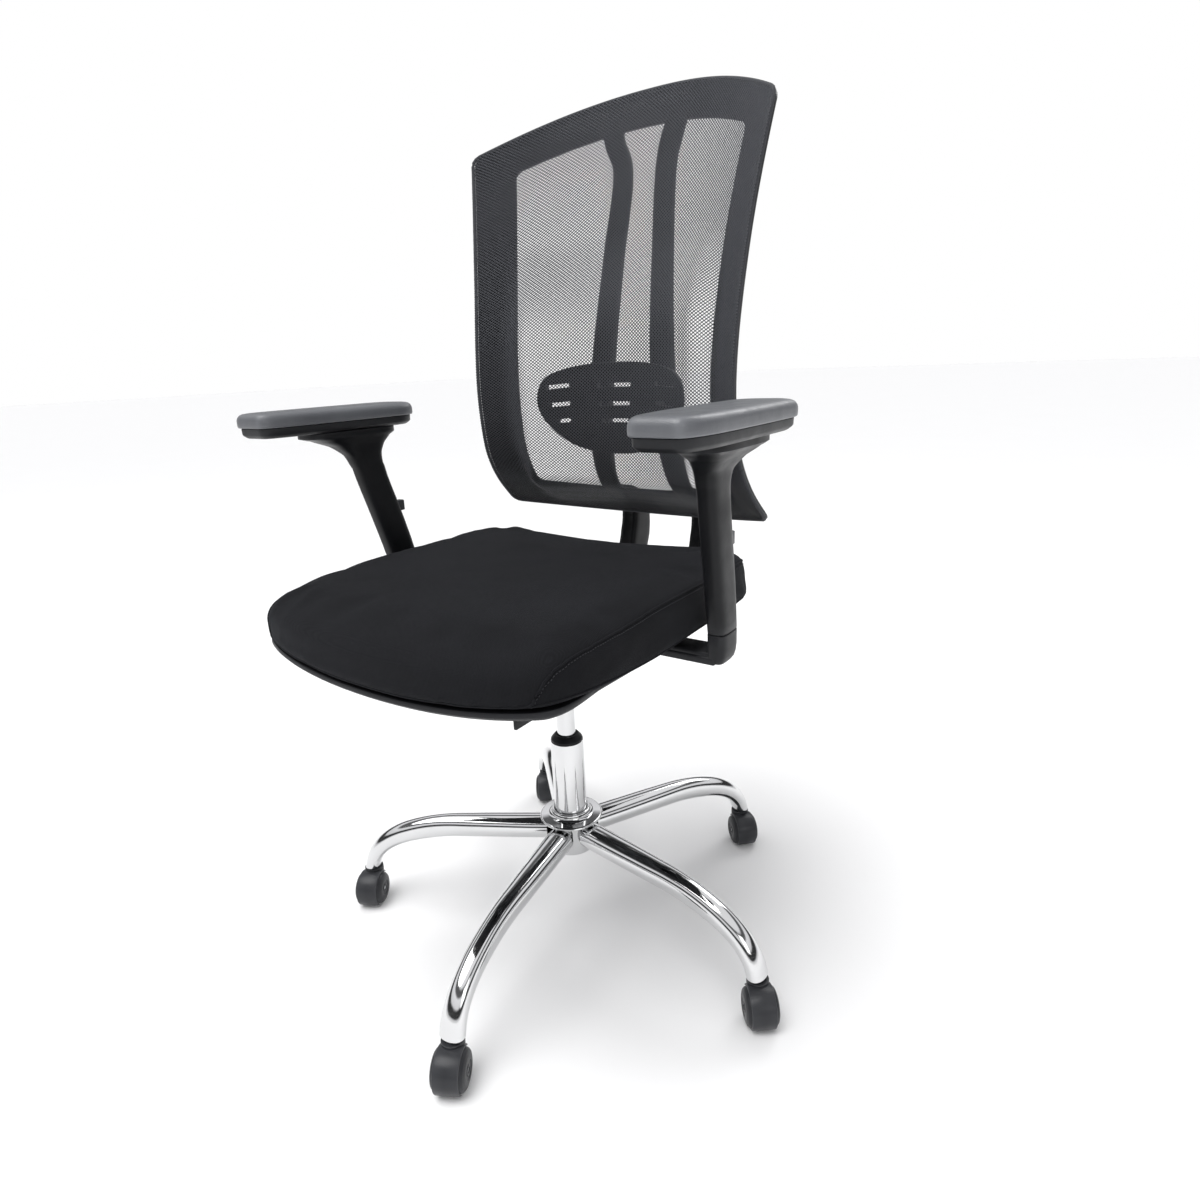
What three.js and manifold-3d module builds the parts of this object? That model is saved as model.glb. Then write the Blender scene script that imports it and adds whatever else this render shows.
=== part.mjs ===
// Swivel office chair: five-leg chrome base on twin-wheel casters, gas lift, tilt mechanism,
// upholstered seat on a tray, height-adjustable arms and a mesh back on a twin-spine frame.
// Millimetres, +Z up, the chair faces -Y and its left side is +X. Heights are above the floor.
// Plan places are measured from the gas lift's axis; the whole chair is then moved by FOOTPRINT_SHIFT.
import * as THREE from 'three';
import { mergeVertices } from 'three/addons/utils/BufferGeometryUtils.js';
import Module from 'manifold-3d';

const wasm = await Module();
wasm.setup();

const { PI, sin, cos, sign, abs, min, max } = Math;
const { lerp, degToRad, smoothstep } = THREE.MathUtils;
const vec = (x, y, z) => new THREE.Vector3(x, y, z);

// ---- driving dimensions ----
const GAP = 0.3; // kept between pieces that touch
const FOOTPRINT_SHIFT = vec(-12.77, 12.71, 0); // brings the middle of the chair's box over the origin

const LEG_COUNT = 5;
const FIRST_LEG_DEG = 9.6; // turned from -Y towards +X
const STEM_CIRCLE = 338; // radius on which the casters stand
const HUB_RADIUS = 36;
const HUB_BOTTOM = 113;
const HUB_FLANGE = { radius: 49, bottom: 164.5, top: 169 };
const HUB_TOP = 180;

const WHEEL_RADIUS = 25;
const WHEEL_HALF_GAP = 8.4; // the hood's web runs between the two wheels
const WHEEL_OUTER_FACE = 22;
const AXLE_RADIUS = 3;
const CASTER_LEAD = 16; // from the stem's axis forward to the axle, as the casters stand
const CASTER_HEADINGS_DEG = [28, 37, 44, 35, 28]; // the way each hood points, as the chair was rolled
const STEM_RADIUS = 5.5;
const LEG_END_HEIGHT = 61;

const TUBE = { radius: 25, bore: 22.6, bottom: 118, top: 296 };
const LIFT_RADIUS = 14;
const LIFT_BOTTOM = 216;
const LIFT_TOP = 430;
const ROD_RADIUS = 5;

const HOUSING = { halfWidth: 48, front: -112, back: 78, bottom: 396, top: 448, wall: 4 };
const SEAT_PIVOT = { y: -98, z: 434, radius: 6 };
const BACK_PIVOT = { y: 60, z: 424, radius: 7 };
const KNOB_Y = -66;

const SEAT_TOP = 588;
const SEAT_HALF_WIDTH = 250;
const SEAT_FRONT = -350;
const SEAT_REAR = 165;
const TRAY_THICKNESS = 16;
const TRAY_BOTTOM = 503;

const STRUT_X = 69;
const STRUT_WIDTH = 33;

const BACK_TOP = 1216; // middle of the top edge
const BACK_TOP_DROP = 71; // from there to the top corners
const BACK_BOTTOM = 585; // middle of the bottom edge
const BACK_BOTTOM_RISE = 30; // from there to the bottom corners
const BACK_WAIST = { z: 800, halfWidth: 219.5 };
const BACK_WRAP = 1.6e-3; // how fast the back curves towards the sitter's sides, per millimetre
const FRAME_BORDER = 50;
const MESH_THICKNESS = 2.6;
const LUMBAR = { push: 22, halfWidth: 129, bottom: 705, top: 840, thickness: 9 };

const ARM_PAD = { x: 305, front: -243, back: 20, halfWidth: 44, bottom: 776, top: 795 };
const ARM_SECTIONS = [ // height, front edge, rear edge, middle in x, half width in x
  [527.5, -55, -9, 272, 12.5],
  [573, -66.5, -18, 274.5, 12.5],
  [640, -84.5, -35, 278, 12.5],
  [706, -102.5, -54, 282, 12.5],
  [726, -110, -54, 284, 14.5],
  [740, -126, -42, 291, 20],
  [750, -152, -26, 298, 28],
  [754, -166, -17, 300, 31],
  [762, -166, -17, 300, 31],
];

// ---- meshes and booleans ----

// One closed surface with shared corners, faces out and no needle of zero area.
function closed(geometry) {
  const bare = geometry.clone();
  bare.deleteAttribute('normal');
  bare.deleteAttribute('uv');
  const merged = mergeVertices(bare, 1e-3);
  const corner = merged.index.array;
  const kept = [];
  for (let i = 0; i < corner.length; i += 3) {
    const [a, b, c] = [corner[i], corner[i + 1], corner[i + 2]];
    if (a !== b && b !== c && c !== a) kept.push(a, b, c);
  }
  const place = merged.attributes.position;
  const at = (i) => vec(place.getX(i), place.getY(i), place.getZ(i));
  let volume = 0;
  for (let i = 0; i < kept.length; i += 3) {
    volume += at(kept[i]).dot(at(kept[i + 1]).cross(at(kept[i + 2])));
  }
  if (volume < 0) kept.reverse();
  merged.setIndex(kept);
  return merged;
}

function toManifold(geometry) {
  const shape = closed(geometry);
  return new wasm.Manifold(new wasm.Mesh({
    numProp: 3,
    vertProperties: Float32Array.from(shape.attributes.position.array),
    triVerts: Uint32Array.from(shape.index.array),
  }));
}

function fromManifold(body) {
  const mesh = body.getMesh();
  const geometry = new THREE.BufferGeometry();
  geometry.setAttribute('position', new THREE.BufferAttribute(mesh.vertProperties, 3));
  geometry.setIndex(new THREE.BufferAttribute(mesh.triVerts, 1));
  return geometry;
}

const join = (first, ...others) =>
  fromManifold(others.reduce((body, other) => body.add(toManifold(other)), toManifold(first)));

const overlap = (first, second) => fromManifold(toManifold(first).intersect(toManifold(second)));

const cut = (first, ...others) =>
  fromManifold(others.reduce((body, other) => body.subtract(toManifold(other)), toManifold(first)));

// Skins a stack of rings that all have the same number of points. An open stack is capped by fans.
function skin(rings, loop = false) {
  const count = rings[0].length;
  const points = rings.flat();
  const faces = [];
  const spans = loop ? rings.length : rings.length - 1;
  for (let r = 0; r < spans; r += 1) {
    const here = r * count;
    const next = ((r + 1) % rings.length) * count;
    for (let i = 0; i < count; i += 1) {
      const j = (i + 1) % count;
      faces.push(here + i, here + j, next + j, here + i, next + j, next + i);
    }
  }
  if (!loop) {
    for (const [start, flip] of [[0, true], [points.length - count, false]]) {
      const ring = points.slice(start, start + count);
      const middle = ring.reduce((sum, p) => sum.add(p), vec(0, 0, 0)).divideScalar(count);
      points.push(middle);
      for (let i = 0; i < count; i += 1) {
        const [a, b] = [start + i, start + ((i + 1) % count)];
        faces.push(...(flip ? [b, a] : [a, b]), points.length - 1);
      }
    }
  }
  const geometry = new THREE.BufferGeometry().setFromPoints(points);
  geometry.setIndex(faces);
  return closed(geometry);
}

// A ring with flattened sides (power 2 is an ellipse, 4 nearly a rounded rectangle).
function ovalRing(centre, across, up, halfWidth, halfHeight, sides = 12, power = 2) {
  const ring = [];
  for (let i = 0; i < sides; i += 1) {
    const angle = ((i + 0.5) * 2 * PI) / sides;
    const [c, s] = [cos(angle), sin(angle)];
    const u = halfWidth * sign(c) * abs(c) ** (2 / power);
    const v = halfHeight * sign(s) * abs(s) ** (2 / power);
    ring.push(centre.clone().addScaledVector(across, u).addScaledVector(up, v));
  }
  return ring;
}

// Turns a profile of [radius, height] pairs about Z.
function turned(profile, segments = 32) {
  const points = profile.map(([radius, height]) => new THREE.Vector2(radius, height));
  return closed(new THREE.LatheGeometry(points, segments).rotateX(PI / 2));
}

const rodZ = (radius, bottom, top, segments = 24) =>
  turned([[0, bottom], [radius, bottom], [radius, top], [0, top]], segments);

const sleeveZ = (inner, outer, bottom, top, segments = 32) =>
  turned([[inner, bottom], [outer, bottom], [outer, top], [inner, top], [inner, bottom]], segments);

// A round pin along X with its middle at x = 0.
const pinX = (radius, halfLength, y, z, segments = 12) =>
  rodZ(radius, -halfLength, halfLength, segments).rotateY(PI / 2).translate(0, y, z);

// A block between two corners.
function block(x0, y0, z0, x1, y1, z1) {
  const box = new THREE.BoxGeometry(x1 - x0, y1 - y0, z1 - z0);
  return closed(box.translate((x0 + x1) / 2, (y0 + y1) / 2, (z0 + z1) / 2));
}

// Moves each point of a flat loop inwards by the distance that insetAt gives for it.
function insetLoop(loop, insetAt) {
  return loop.map((p, i) => {
    const before = loop[(i + loop.length - 1) % loop.length];
    const after = loop[(i + 1) % loop.length];
    const along = new THREE.Vector2(after.x - before.x, after.y - before.y).normalize();
    const inset = insetAt(p);
    return new THREE.Vector2(p.x - along.y * inset, p.y + along.x * inset);
  });
}

// Stacks inset copies of a flat loop; each level gives its inset and its height over (x, y).
function stacked(loop, levels) {
  return skin(levels.map(([insetAt, heightAt]) =>
    insetLoop(loop, insetAt).map((p) => vec(p.x, p.y, heightAt(p.x, p.y)))));
}

const always = (value) => () => value;

function spacedLoop(path, count) {
  return path.getSpacedPoints(count).slice(0, count);
}

function mirrored(geometry) {
  return closed(geometry.clone().scale(-1, 1, 1));
}

// ---- finishes ----
const finish = (color, roughness, metalness) =>
  () => new THREE.MeshStandardMaterial({ color, roughness, metalness });
const chrome = finish(0xdadcde, 0.08, 1);
const steel = finish(0x8f9296, 0.35, 1);
const blackSteel = finish(0x17181a, 0.45, 0.6);
const blackPlastic = finish(0x141516, 0.5, 0);
const casterPlastic = finish(0x2b2d30, 0.45, 0);
const padRubber = finish(0x33363b, 0.55, 0);
const seatFabric = finish(0x0f1013, 0.95, 0);
const backFabric = finish(0x26282b, 0.9, 0);

const chair = new THREE.Group();
chair.position.copy(FOOTPRINT_SHIFT);

function add(name, geometry, material, parent = chair) {
  const mesh = new THREE.Mesh(geometry, material());
  mesh.name = name;
  parent.add(mesh);
  return mesh;
}

// A group turned so that its -Y axis points the given way, in degrees from -Y towards +X.
function turnedGroup(degrees, x = 0, y = 0, parent = chair) {
  const group = new THREE.Group();
  group.rotation.z = degToRad(degrees);
  group.position.set(x, y, 0);
  parent.add(group);
  return group;
}

// ---- base: hub, legs and casters ----

function hubGeometry() {
  const collar = TUBE.radius + 5;
  const inner = TUBE.radius + GAP;
  return turned([
    [inner, HUB_BOTTOM], [HUB_RADIUS - 3, HUB_BOTTOM], [HUB_RADIUS, HUB_BOTTOM + 3],
    [HUB_RADIUS, HUB_FLANGE.bottom], [HUB_FLANGE.radius - 2, HUB_FLANGE.bottom],
    [HUB_FLANGE.radius, HUB_FLANGE.bottom + 2], [HUB_FLANGE.radius - 2, HUB_FLANGE.top],
    [collar + 3, HUB_FLANGE.top + 1], [collar, HUB_FLANGE.top + 4], [collar, HUB_TOP - 1],
    [collar - 1, HUB_TOP], [inner, HUB_TOP], [inner, HUB_BOTTOM],
  ], 20);
}

// One bent tube: level from the hub, then down to the caster. It flattens towards its end.
function legGeometry() {
  const path = new THREE.CatmullRomCurve3(
    [[26, 144.5], [90, 142.5], [156, 140.5], [205, 138], [246, 131], [284, 119], [312, 102],
      [329, 82], [337, LEG_END_HEIGHT]].map(([out, height]) => vec(0, -out, height)),
  );
  const steps = 12;
  const rings = [];
  for (let i = 0; i <= steps; i += 1) {
    const t = i / steps;
    const centre = path.getPointAt(t);
    const across = vec(1, 0, 0);
    const up = across.clone().cross(path.getTangentAt(t)).normalize();
    const halfWidth = lerp(lerp(20.4, 15.6, smoothstep(t, 0, 0.45)), 17.6, smoothstep(t, 0.6, 0.95));
    const halfHeight = lerp(18, 11.6, smoothstep(t, 0.35, 0.95));
    rings.push(ovalRing(centre, across, up, halfWidth, halfHeight, 10, 2.2));
  }
  const hubClearance = rodZ(HUB_RADIUS + 3 * GAP, 100, 200, 20);
  const belowEnd = block(-40, -400, 20, 40, -280, LEG_END_HEIGHT);
  const socket = rodZ(STEM_RADIUS + 0.5, LEG_END_HEIGHT - 5, LEG_END_HEIGHT + 19, 8);
  return cut(skin(rings), hubClearance, belowEnd, socket.translate(0, -STEM_CIRCLE, 0));
}

function stemGeometry() {
  return turned([
    [0, 32], [STEM_RADIUS, 32], [STEM_RADIUS, LEG_END_HEIGHT - 4.5], [9.5, LEG_END_HEIGHT - 4.5],
    [9.5, LEG_END_HEIGHT - GAP], [STEM_RADIUS, LEG_END_HEIGHT - GAP],
    [STEM_RADIUS, LEG_END_HEIGHT + 18.5],
    [0, LEG_END_HEIGHT + 18.5],
  ], 8);
}

// The hood in its own place: stem axis at the origin, axle CASTER_LEAD in front of it.
function hoodGeometry() {
  const outer = WHEEL_RADIUS + 3;
  const inner = WHEEL_RADIUS + 0.8;
  const halfBand = 16.5;
  const start = degToRad(-48); // just above the floor in front
  const end = degToRad(140); // behind the top
  const steps = 8;
  const band = [];
  for (let i = 0; i <= steps; i += 1) {
    const angle = lerp(start, end, i / steps);
    const [forward, up] = [cos(angle), sin(angle)];
    const at = (radius, x) => vec(x, -CASTER_LEAD - radius * forward, WHEEL_RADIUS + radius * up);
    band.push([at(inner, -halfBand), at(outer, -halfBand), at(outer, halfBand), at(inner, halfBand)]);
  }
  const halfWeb = WHEEL_HALF_GAP - 0.6;
  const web = rodZ(inner + 0.6, -halfWeb, halfWeb, 16).rotateY(PI / 2)
    .translate(0, -CASTER_LEAD, WHEEL_RADIUS);
  const neck = rodZ(15, 30, LEG_END_HEIGHT - 5, 12);
  const floorTrim = block(-30, -60, -10, 30, 30, 4);
  const axleHole = rodZ(AXLE_RADIUS + 0.4, -40, 40, 8).rotateY(PI / 2)
    .translate(0, -CASTER_LEAD, WHEEL_RADIUS);
  const stemHole = rodZ(STEM_RADIUS + 0.5, 31, 80, 8);
  const wheelRooms = [halfWeb, -halfWeb - 30].map((x) =>
    rodZ(WHEEL_RADIUS + 0.5, x, x + 30, 16).rotateY(PI / 2).translate(0, -CASTER_LEAD, WHEEL_RADIUS));
  return cut(join(skin(band), web, neck), floorTrim, axleHole, stemHole, ...wheelRooms);
}

function wheelGeometry(side) {
  const bore = AXLE_RADIUS + 0.4;
  const profile = turned([
    [bore, WHEEL_HALF_GAP], [WHEEL_RADIUS, WHEEL_HALF_GAP], [WHEEL_RADIUS, 15],
    [WHEEL_RADIUS - 7, WHEEL_OUTER_FACE], [bore, WHEEL_OUTER_FACE], [bore, WHEEL_HALF_GAP],
  ], 16);
  return closed(profile.rotateY((side * PI) / 2));
}

function addCaster(index, degrees) {
  const onCircle = vec(sin(degToRad(degrees)), -cos(degToRad(degrees)), 0).multiplyScalar(STEM_CIRCLE);
  const name = `caster_${index + 1}`;
  const group = turnedGroup(CASTER_HEADINGS_DEG[index], onCircle.x, onCircle.y);
  add(`${name}_stem`, stemGeometry(), steel, group);
  add(`${name}_hood`, hoodGeometry(), casterPlastic, group);
  const axle = new THREE.Group();
  axle.position.set(0, -CASTER_LEAD, WHEEL_RADIUS);
  group.add(axle);
  const axlePin = rodZ(AXLE_RADIUS, -WHEEL_OUTER_FACE + 1, WHEEL_OUTER_FACE - 1, 8).rotateY(PI / 2);
  add(`${name}_axle`, closed(axlePin), steel, axle);
  add(`${name}_wheel_left`, wheelGeometry(1), casterPlastic, axle);
  add(`${name}_wheel_right`, wheelGeometry(-1), casterPlastic, axle);
}

add('base_hub', hubGeometry(), chrome);
for (let i = 0; i < LEG_COUNT; i += 1) {
  const degrees = FIRST_LEG_DEG + (360 / LEG_COUNT) * i;
  add(`base_leg_${i + 1}`, legGeometry(), chrome, turnedGroup(degrees));
  addCaster(i, degrees);
}

// ---- gas lift ----

function addGasLift() {
  const rodHole = ROD_RADIUS + 2 * GAP;
  const floorOfTube = TUBE.bottom + 6;
  add('lift_outer_tube', turned([
    [rodHole, TUBE.bottom], [TUBE.radius, TUBE.bottom], [TUBE.radius, TUBE.top],
    [TUBE.bore, TUBE.top], [TUBE.bore, floorOfTube], [rodHole, floorOfTube], [rodHole, TUBE.bottom],
  ], 20), chrome);
  const bushBore = LIFT_RADIUS + 0.2;
  add('lift_guide_bush', turned([
    [bushBore, TUBE.top - 58], [TUBE.bore - GAP, TUBE.top - 58], [TUBE.bore - GAP, TUBE.top + GAP],
    [TUBE.radius - 1, TUBE.top + GAP], [TUBE.radius - 1, TUBE.top + 3], [18, TUBE.top + 10],
    [bushBore, TUBE.top + 10], [bushBore, TUBE.top - 58],
  ], 20), blackPlastic);
  const bearingTop = floorOfTube + 7;
  add('lift_thrust_bearing', sleeveZ(rodHole, 12, floorOfTube + GAP, bearingTop, 16), steel);
  const bore = 10.5;
  add('lift_piston_rod', turned([
    [0, TUBE.bottom + 1], [ROD_RADIUS, TUBE.bottom + 1], [ROD_RADIUS, bearingTop + GAP],
    [10, bearingTop + GAP], [10, bearingTop + 4], [ROD_RADIUS, bearingTop + 4],
    [ROD_RADIUS, 318], [bore - 0.5, 318], [bore - 0.5, 332], [0, 332],
  ], 12), steel);
  const pinHole = 3.6;
  add('lift_cylinder', turned([
    [bore, LIFT_BOTTOM], [LIFT_RADIUS, LIFT_BOTTOM], [LIFT_RADIUS, 380], [LIFT_RADIUS - 1.2, LIFT_TOP],
    [pinHole, LIFT_TOP], [pinHole, LIFT_TOP - 16], [bore, LIFT_TOP - 20], [bore, LIFT_BOTTOM],
  ], 20), chrome);
  add('lift_release_pin', turned([
    [0, LIFT_TOP - 12], [pinHole - 0.25, LIFT_TOP - 12], [pinHole - 0.25, LIFT_TOP + 5],
    [pinHole - 1, LIFT_TOP + 6], [0, LIFT_TOP + 6],
  ], 8), steel);
}
addGasLift();

// ---- tilt mechanism ----

const LEVER_Z = LIFT_TOP + 9;

function housingGeometry() {
  const { halfWidth, front, back, bottom, top, wall } = HOUSING;
  const shell = block(-halfWidth, front, bottom, halfWidth, back, top);
  const innerHalf = halfWidth - wall;
  const hollow = block(-innerHalf, front + wall, bottom + wall, innerHalf, back - wall, top + 1);
  const boss = rodZ(LIFT_RADIUS + 9, bottom - 18, bottom + 14, 20);
  const bore = turned([[0, 370], [LIFT_RADIUS + 0.4, 370], [LIFT_RADIUS + 0.4, 380],
    [LIFT_RADIUS - 0.4, LIFT_TOP + 5], [0, LIFT_TOP + 5]], 20);
  const knobHole = rodZ(5.6, bottom - 5, bottom + 10, 12).translate(0, KNOB_Y, 0);
  const seatPinHole = pinX(SEAT_PIVOT.radius + GAP, 90, SEAT_PIVOT.y, SEAT_PIVOT.z);
  const backPinHole = pinX(BACK_PIVOT.radius + GAP, 90, BACK_PIVOT.y, BACK_PIVOT.z);
  const liftSlot = block(-halfWidth - 1, -9, LEVER_Z - 6, -halfWidth + wall + 1, 9, LEVER_Z + 6);
  const lockSlot = block(-halfWidth - 1, -55, LEVER_Z - 10, -halfWidth + wall + 1, -35, LEVER_Z + 4);
  const open = cut(shell, hollow);
  return cut(join(open, boss), bore, knobHole, seatPinHole, backPinHole, liftSlot, lockSlot);
}

function springGeometry() {
  const turns = 4;
  const bottom = HOUSING.bottom + HOUSING.wall + 3;
  const pitch = 8.4;
  const coilRadius = 13.5;
  const wireRadius = 2.2;
  const steps = 7 * turns;
  const rings = [];
  for (let i = 0; i <= steps; i += 1) {
    const angle = (i / steps) * turns * 2 * PI;
    const outward = vec(cos(angle), sin(angle), 0);
    const centre = outward.clone().multiplyScalar(coilRadius);
    centre.z = bottom + (pitch * angle) / (2 * PI);
    rings.push(ovalRing(centre, outward, vec(0, 0, 1), wireRadius, wireRadius, 4));
  }
  return skin(rings).translate(0, KNOB_Y, 0);
}

function knobGeometry() {
  const ring = (radius, height) => {
    const points = [];
    for (let i = 0; i < 16; i += 1) {
      const angle = (i * 2 * PI) / 16;
      const lobed = radius + 1.2 * cos(8 * angle); // every other corner stands out as a grip
      points.push(vec(lobed * cos(angle), lobed * sin(angle), height));
    }
    return points;
  };
  const bottom = HOUSING.bottom - 32;
  const top = HOUSING.bottom - 4;
  const grip = skin([ring(17, bottom), ring(20.5, bottom + 3), ring(21.5, top - 4), ring(18, top)]);
  const shaft = rodZ(5, top - 2, HOUSING.top - 8, 12);
  const nut = rodZ(9, HOUSING.top - 9.5, HOUSING.top - 5, 6);
  return join(grip, shaft, nut).translate(0, KNOB_Y, 0);
}

// A side lever: a rod through the housing's wall with a flat paddle on its outer end.
function leverGeometry(y, innerX, outerX, z) {
  const rod = rodZ(4, innerX, outerX, 10).rotateY(-PI / 2).translate(0, y, z);
  const paddleMiddle = outerX + 22;
  const levels = [[4, -2.5], [0, -1], [0, 1], [4, 2.5]];
  const outline = spacedLoop(new THREE.Path().absellipse(-paddleMiddle, y, 32, 11, 0, 2 * PI), 16);
  const paddle = stacked(outline, levels.map(([inset, rise]) => [always(inset), always(z + rise)]));
  return join(rod, paddle);
}

function addMechanism() {
  add('tilt_housing', housingGeometry(), blackSteel);
  add('tilt_spring', springGeometry(), steel);
  add('tilt_tension_knob', knobGeometry(), blackPlastic);
  add('seat_pivot_pin', pinX(SEAT_PIVOT.radius, 66, SEAT_PIVOT.y, SEAT_PIVOT.z), steel);
  add('back_pivot_pin', pinX(BACK_PIVOT.radius, 88, BACK_PIVOT.y, BACK_PIVOT.z), steel);
  const liftArm = block(-46, -4, LEVER_Z - 2.5, 5, 4, LEVER_Z + 2.5);
  add('lift_lever', join(leverGeometry(0, 40, 150, LEVER_Z), liftArm), blackPlastic);
  add('tilt_lock_lever', leverGeometry(-45, 38, 118, LEVER_Z - 3), blackPlastic);
}
addMechanism();

// ---- seat ----

function seatOutline(count) {
  const path = new THREE.Path();
  path.moveTo(0, SEAT_FRONT);
  path.quadraticCurveTo(160, SEAT_FRONT, 220, -320);
  path.quadraticCurveTo(SEAT_HALF_WIDTH, -303, SEAT_HALF_WIDTH, -225);
  path.bezierCurveTo(SEAT_HALF_WIDTH, -60, 249, 40, 246, 90);
  path.quadraticCurveTo(240, SEAT_REAR, 180, SEAT_REAR);
  path.lineTo(-180, SEAT_REAR);
  path.quadraticCurveTo(-240, SEAT_REAR, -246, 90);
  path.bezierCurveTo(-249, 40, -SEAT_HALF_WIDTH, -60, -SEAT_HALF_WIDTH, -225);
  path.quadraticCurveTo(-SEAT_HALF_WIDTH, -303, -220, -320);
  path.quadraticCurveTo(-160, SEAT_FRONT, 0, SEAT_FRONT);
  return spacedLoop(path, count);
}

const acrossSeat = (x) => (x / SEAT_HALF_WIDTH) ** 2;
const frontness = (y) => smoothstep(-y, 110, -SEAT_FRONT);
const trayBottomAt = (x, y) => TRAY_BOTTOM + frontness(y) * (20 * acrossSeat(x) - 9);
const trayTopAt = (x, y) => trayBottomAt(x, y) + TRAY_THICKNESS;
const seatTopAt = (x, y) => {
  const rearDip = 11 * smoothstep(y, 0, SEAT_REAR) * (1 - acrossSeat(x));
  const frontDrop = 9 * frontness(y) * (1 - acrossSeat(x));
  return SEAT_TOP - rearDip - frontDrop;
};

function cushionGeometry() {
  const bottom = (x, y) => trayTopAt(x, y) + GAP;
  const below = (drop, frontExtra) => (x, y) => seatTopAt(x, y) - drop - frontExtra * frontness(y);
  return stacked(seatOutline(42), [
    [always(14), bottom],
    [always(2), (x, y) => bottom(x, y) + 12],
    [always(0), below(30, 10)],
    [(p) => 4 + 4 * frontness(p.y), below(9, 10)],
    [(p) => 12 + 8 * frontness(p.y), below(2, 7)],
    [always(48), below(0, 1)],
    [always(125), below(2, 0)],
  ]);
}

function trayGeometry() {
  const sideInset = (p) => 5 + 17 * smoothstep(p.y, -325, -215) * smoothstep(abs(p.x), 90, 220);
  const rimInset = (extra) => (p) => sideInset(p) + extra;
  const lifted = (rise) => (x, y) => trayBottomAt(x, y) + rise;
  const tray = stacked(seatOutline(42), [
    [rimInset(60), lifted(-4)],
    [rimInset(7), lifted(0)],
    [rimInset(0), lifted(5)],
    [rimInset(0), lifted(TRAY_THICKNESS - 1)],
    [rimInset(3), lifted(TRAY_THICKNESS)],
    [rimInset(60), lifted(TRAY_THICKNESS)],
  ]);
  const earInner = HOUSING.halfWidth + 3;
  const ears = [1, -1].map((side) => {
    const [a, b] = [side * earInner, side * (earInner + 8)];
    const { y, z } = SEAT_PIVOT;
    return block(min(a, b), y - 15, z - 12, max(a, b), y + 17, TRAY_BOTTOM + 4);
  });
  return cut(join(tray, ...ears), pinX(SEAT_PIVOT.radius + GAP, 90, SEAT_PIVOT.y, SEAT_PIVOT.z));
}

add('seat_tray', trayGeometry(), blackPlastic);
add('seat_cushion', cushionGeometry(), seatFabric);

// ---- arms; built on the left (+X) side and mirrored for the right ----

const armRing = (y0, y1, x, half, z, sides = 12) =>
  ovalRing(vec(x, (y0 + y1) / 2, z), vec(1, 0, 0), vec(0, 1, 0), half, (y1 - y0) / 2, sides, 3.2);

// The post's slope, taken from its straight stretch, as the move per millimetre of height.
const [POST_LOW, POST_HIGH] = [ARM_SECTIONS[0], ARM_SECTIONS[3]];
const POST_RISE = POST_HIGH[0] - POST_LOW[0];
const POST_SLOPE_Y = (POST_HIGH[1] - POST_LOW[1]) / POST_RISE;
const POST_SLOPE_X = (POST_HIGH[3] - POST_LOW[3]) / POST_RISE;
const postCentre = (z) => ({
  x: POST_LOW[3] + POST_SLOPE_X * (z - POST_LOW[0]),
  y: (POST_LOW[1] + POST_LOW[2]) / 2 + POST_SLOPE_Y * (z - POST_LOW[0]),
});
function postRings(halfX, halfY, heights) {
  return heights.map((z) => {
    const { x, y } = postCentre(z);
    return armRing(y - halfY, y + halfY, x, halfX, z, 8);
  });
}

const BUTTON = { z: 641, halfHeight: 8, halfWidth: 5.5, proud: 13 };

function armSleeveGeometry() {
  const outside = skin(ARM_SECTIONS.map(([z, front, rear, x, half]) => armRing(front, rear, x, half, z)));
  const cavity = skin(postRings(8.5, 18.5, [520, 690]));
  const { x, y } = postCentre(BUTTON.z);
  const buttonHole = block(
    x - BUTTON.halfWidth - 0.5, y + 10, BUTTON.z - BUTTON.halfHeight - 0.5,
    x + BUTTON.halfWidth + 0.5, y + 60, BUTTON.z + BUTTON.halfHeight + 0.5,
  );
  return cut(outside, cavity, buttonHole);
}

// The foot under the sleeve, its bar under the seat and the bar's tongue inside the sleeve.
function armBracketGeometry() {
  const [z0, front, rear, x, half] = ARM_SECTIONS[0];
  const foot = skin([
    armRing(front + 9, rear - 7, x - 3, half - 4, z0 - 40),
    armRing(front + 2, rear - 1, x, half - 1, z0 - 34),
    armRing(front, rear, x, half, z0 - 20),
    armRing(front, rear, x, half, z0 - 0.5),
  ]);
  const bar = block(118, -54, z0 - 40, x, -12, z0 - 30);
  const tongue = skin(postRings(6.5, 14, [z0 - 2, 628]));
  return join(foot, bar, tongue);
}

function armButtonGeometry() {
  const { x, y } = postCentre(BUTTON.z);
  const rearFace = y + 24.5;
  const cap = block(
    x - BUTTON.halfWidth, y + 17.5, BUTTON.z - BUTTON.halfHeight,
    x + BUTTON.halfWidth, rearFace + BUTTON.proud, BUTTON.z + BUTTON.halfHeight,
  );
  return cap;
}

function padOutline(count) {
  const { x, front, back, halfWidth } = ARM_PAD;
  const frontHalf = halfWidth - 15;
  const path = new THREE.Path();
  path.moveTo(x, front);
  path.lineTo(x + frontHalf - 8, front);
  path.quadraticCurveTo(x + frontHalf + 4, front, x + halfWidth - 6, front + 32);
  path.bezierCurveTo(x + halfWidth, front + 60, x + halfWidth, back - 70, x + halfWidth - 1, back - 34);
  path.quadraticCurveTo(x + halfWidth - 4, back, x + halfWidth - 34, back);
  path.lineTo(x - halfWidth + 34, back);
  path.quadraticCurveTo(x - halfWidth + 4, back, x - halfWidth + 1, back - 34);
  path.bezierCurveTo(x - halfWidth, back - 70, x - halfWidth, front + 60, x - halfWidth + 6, front + 32);
  path.quadraticCurveTo(x - frontHalf - 4, front, x - frontHalf + 8, front);
  path.closePath();
  return spacedLoop(path, count);
}

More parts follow.
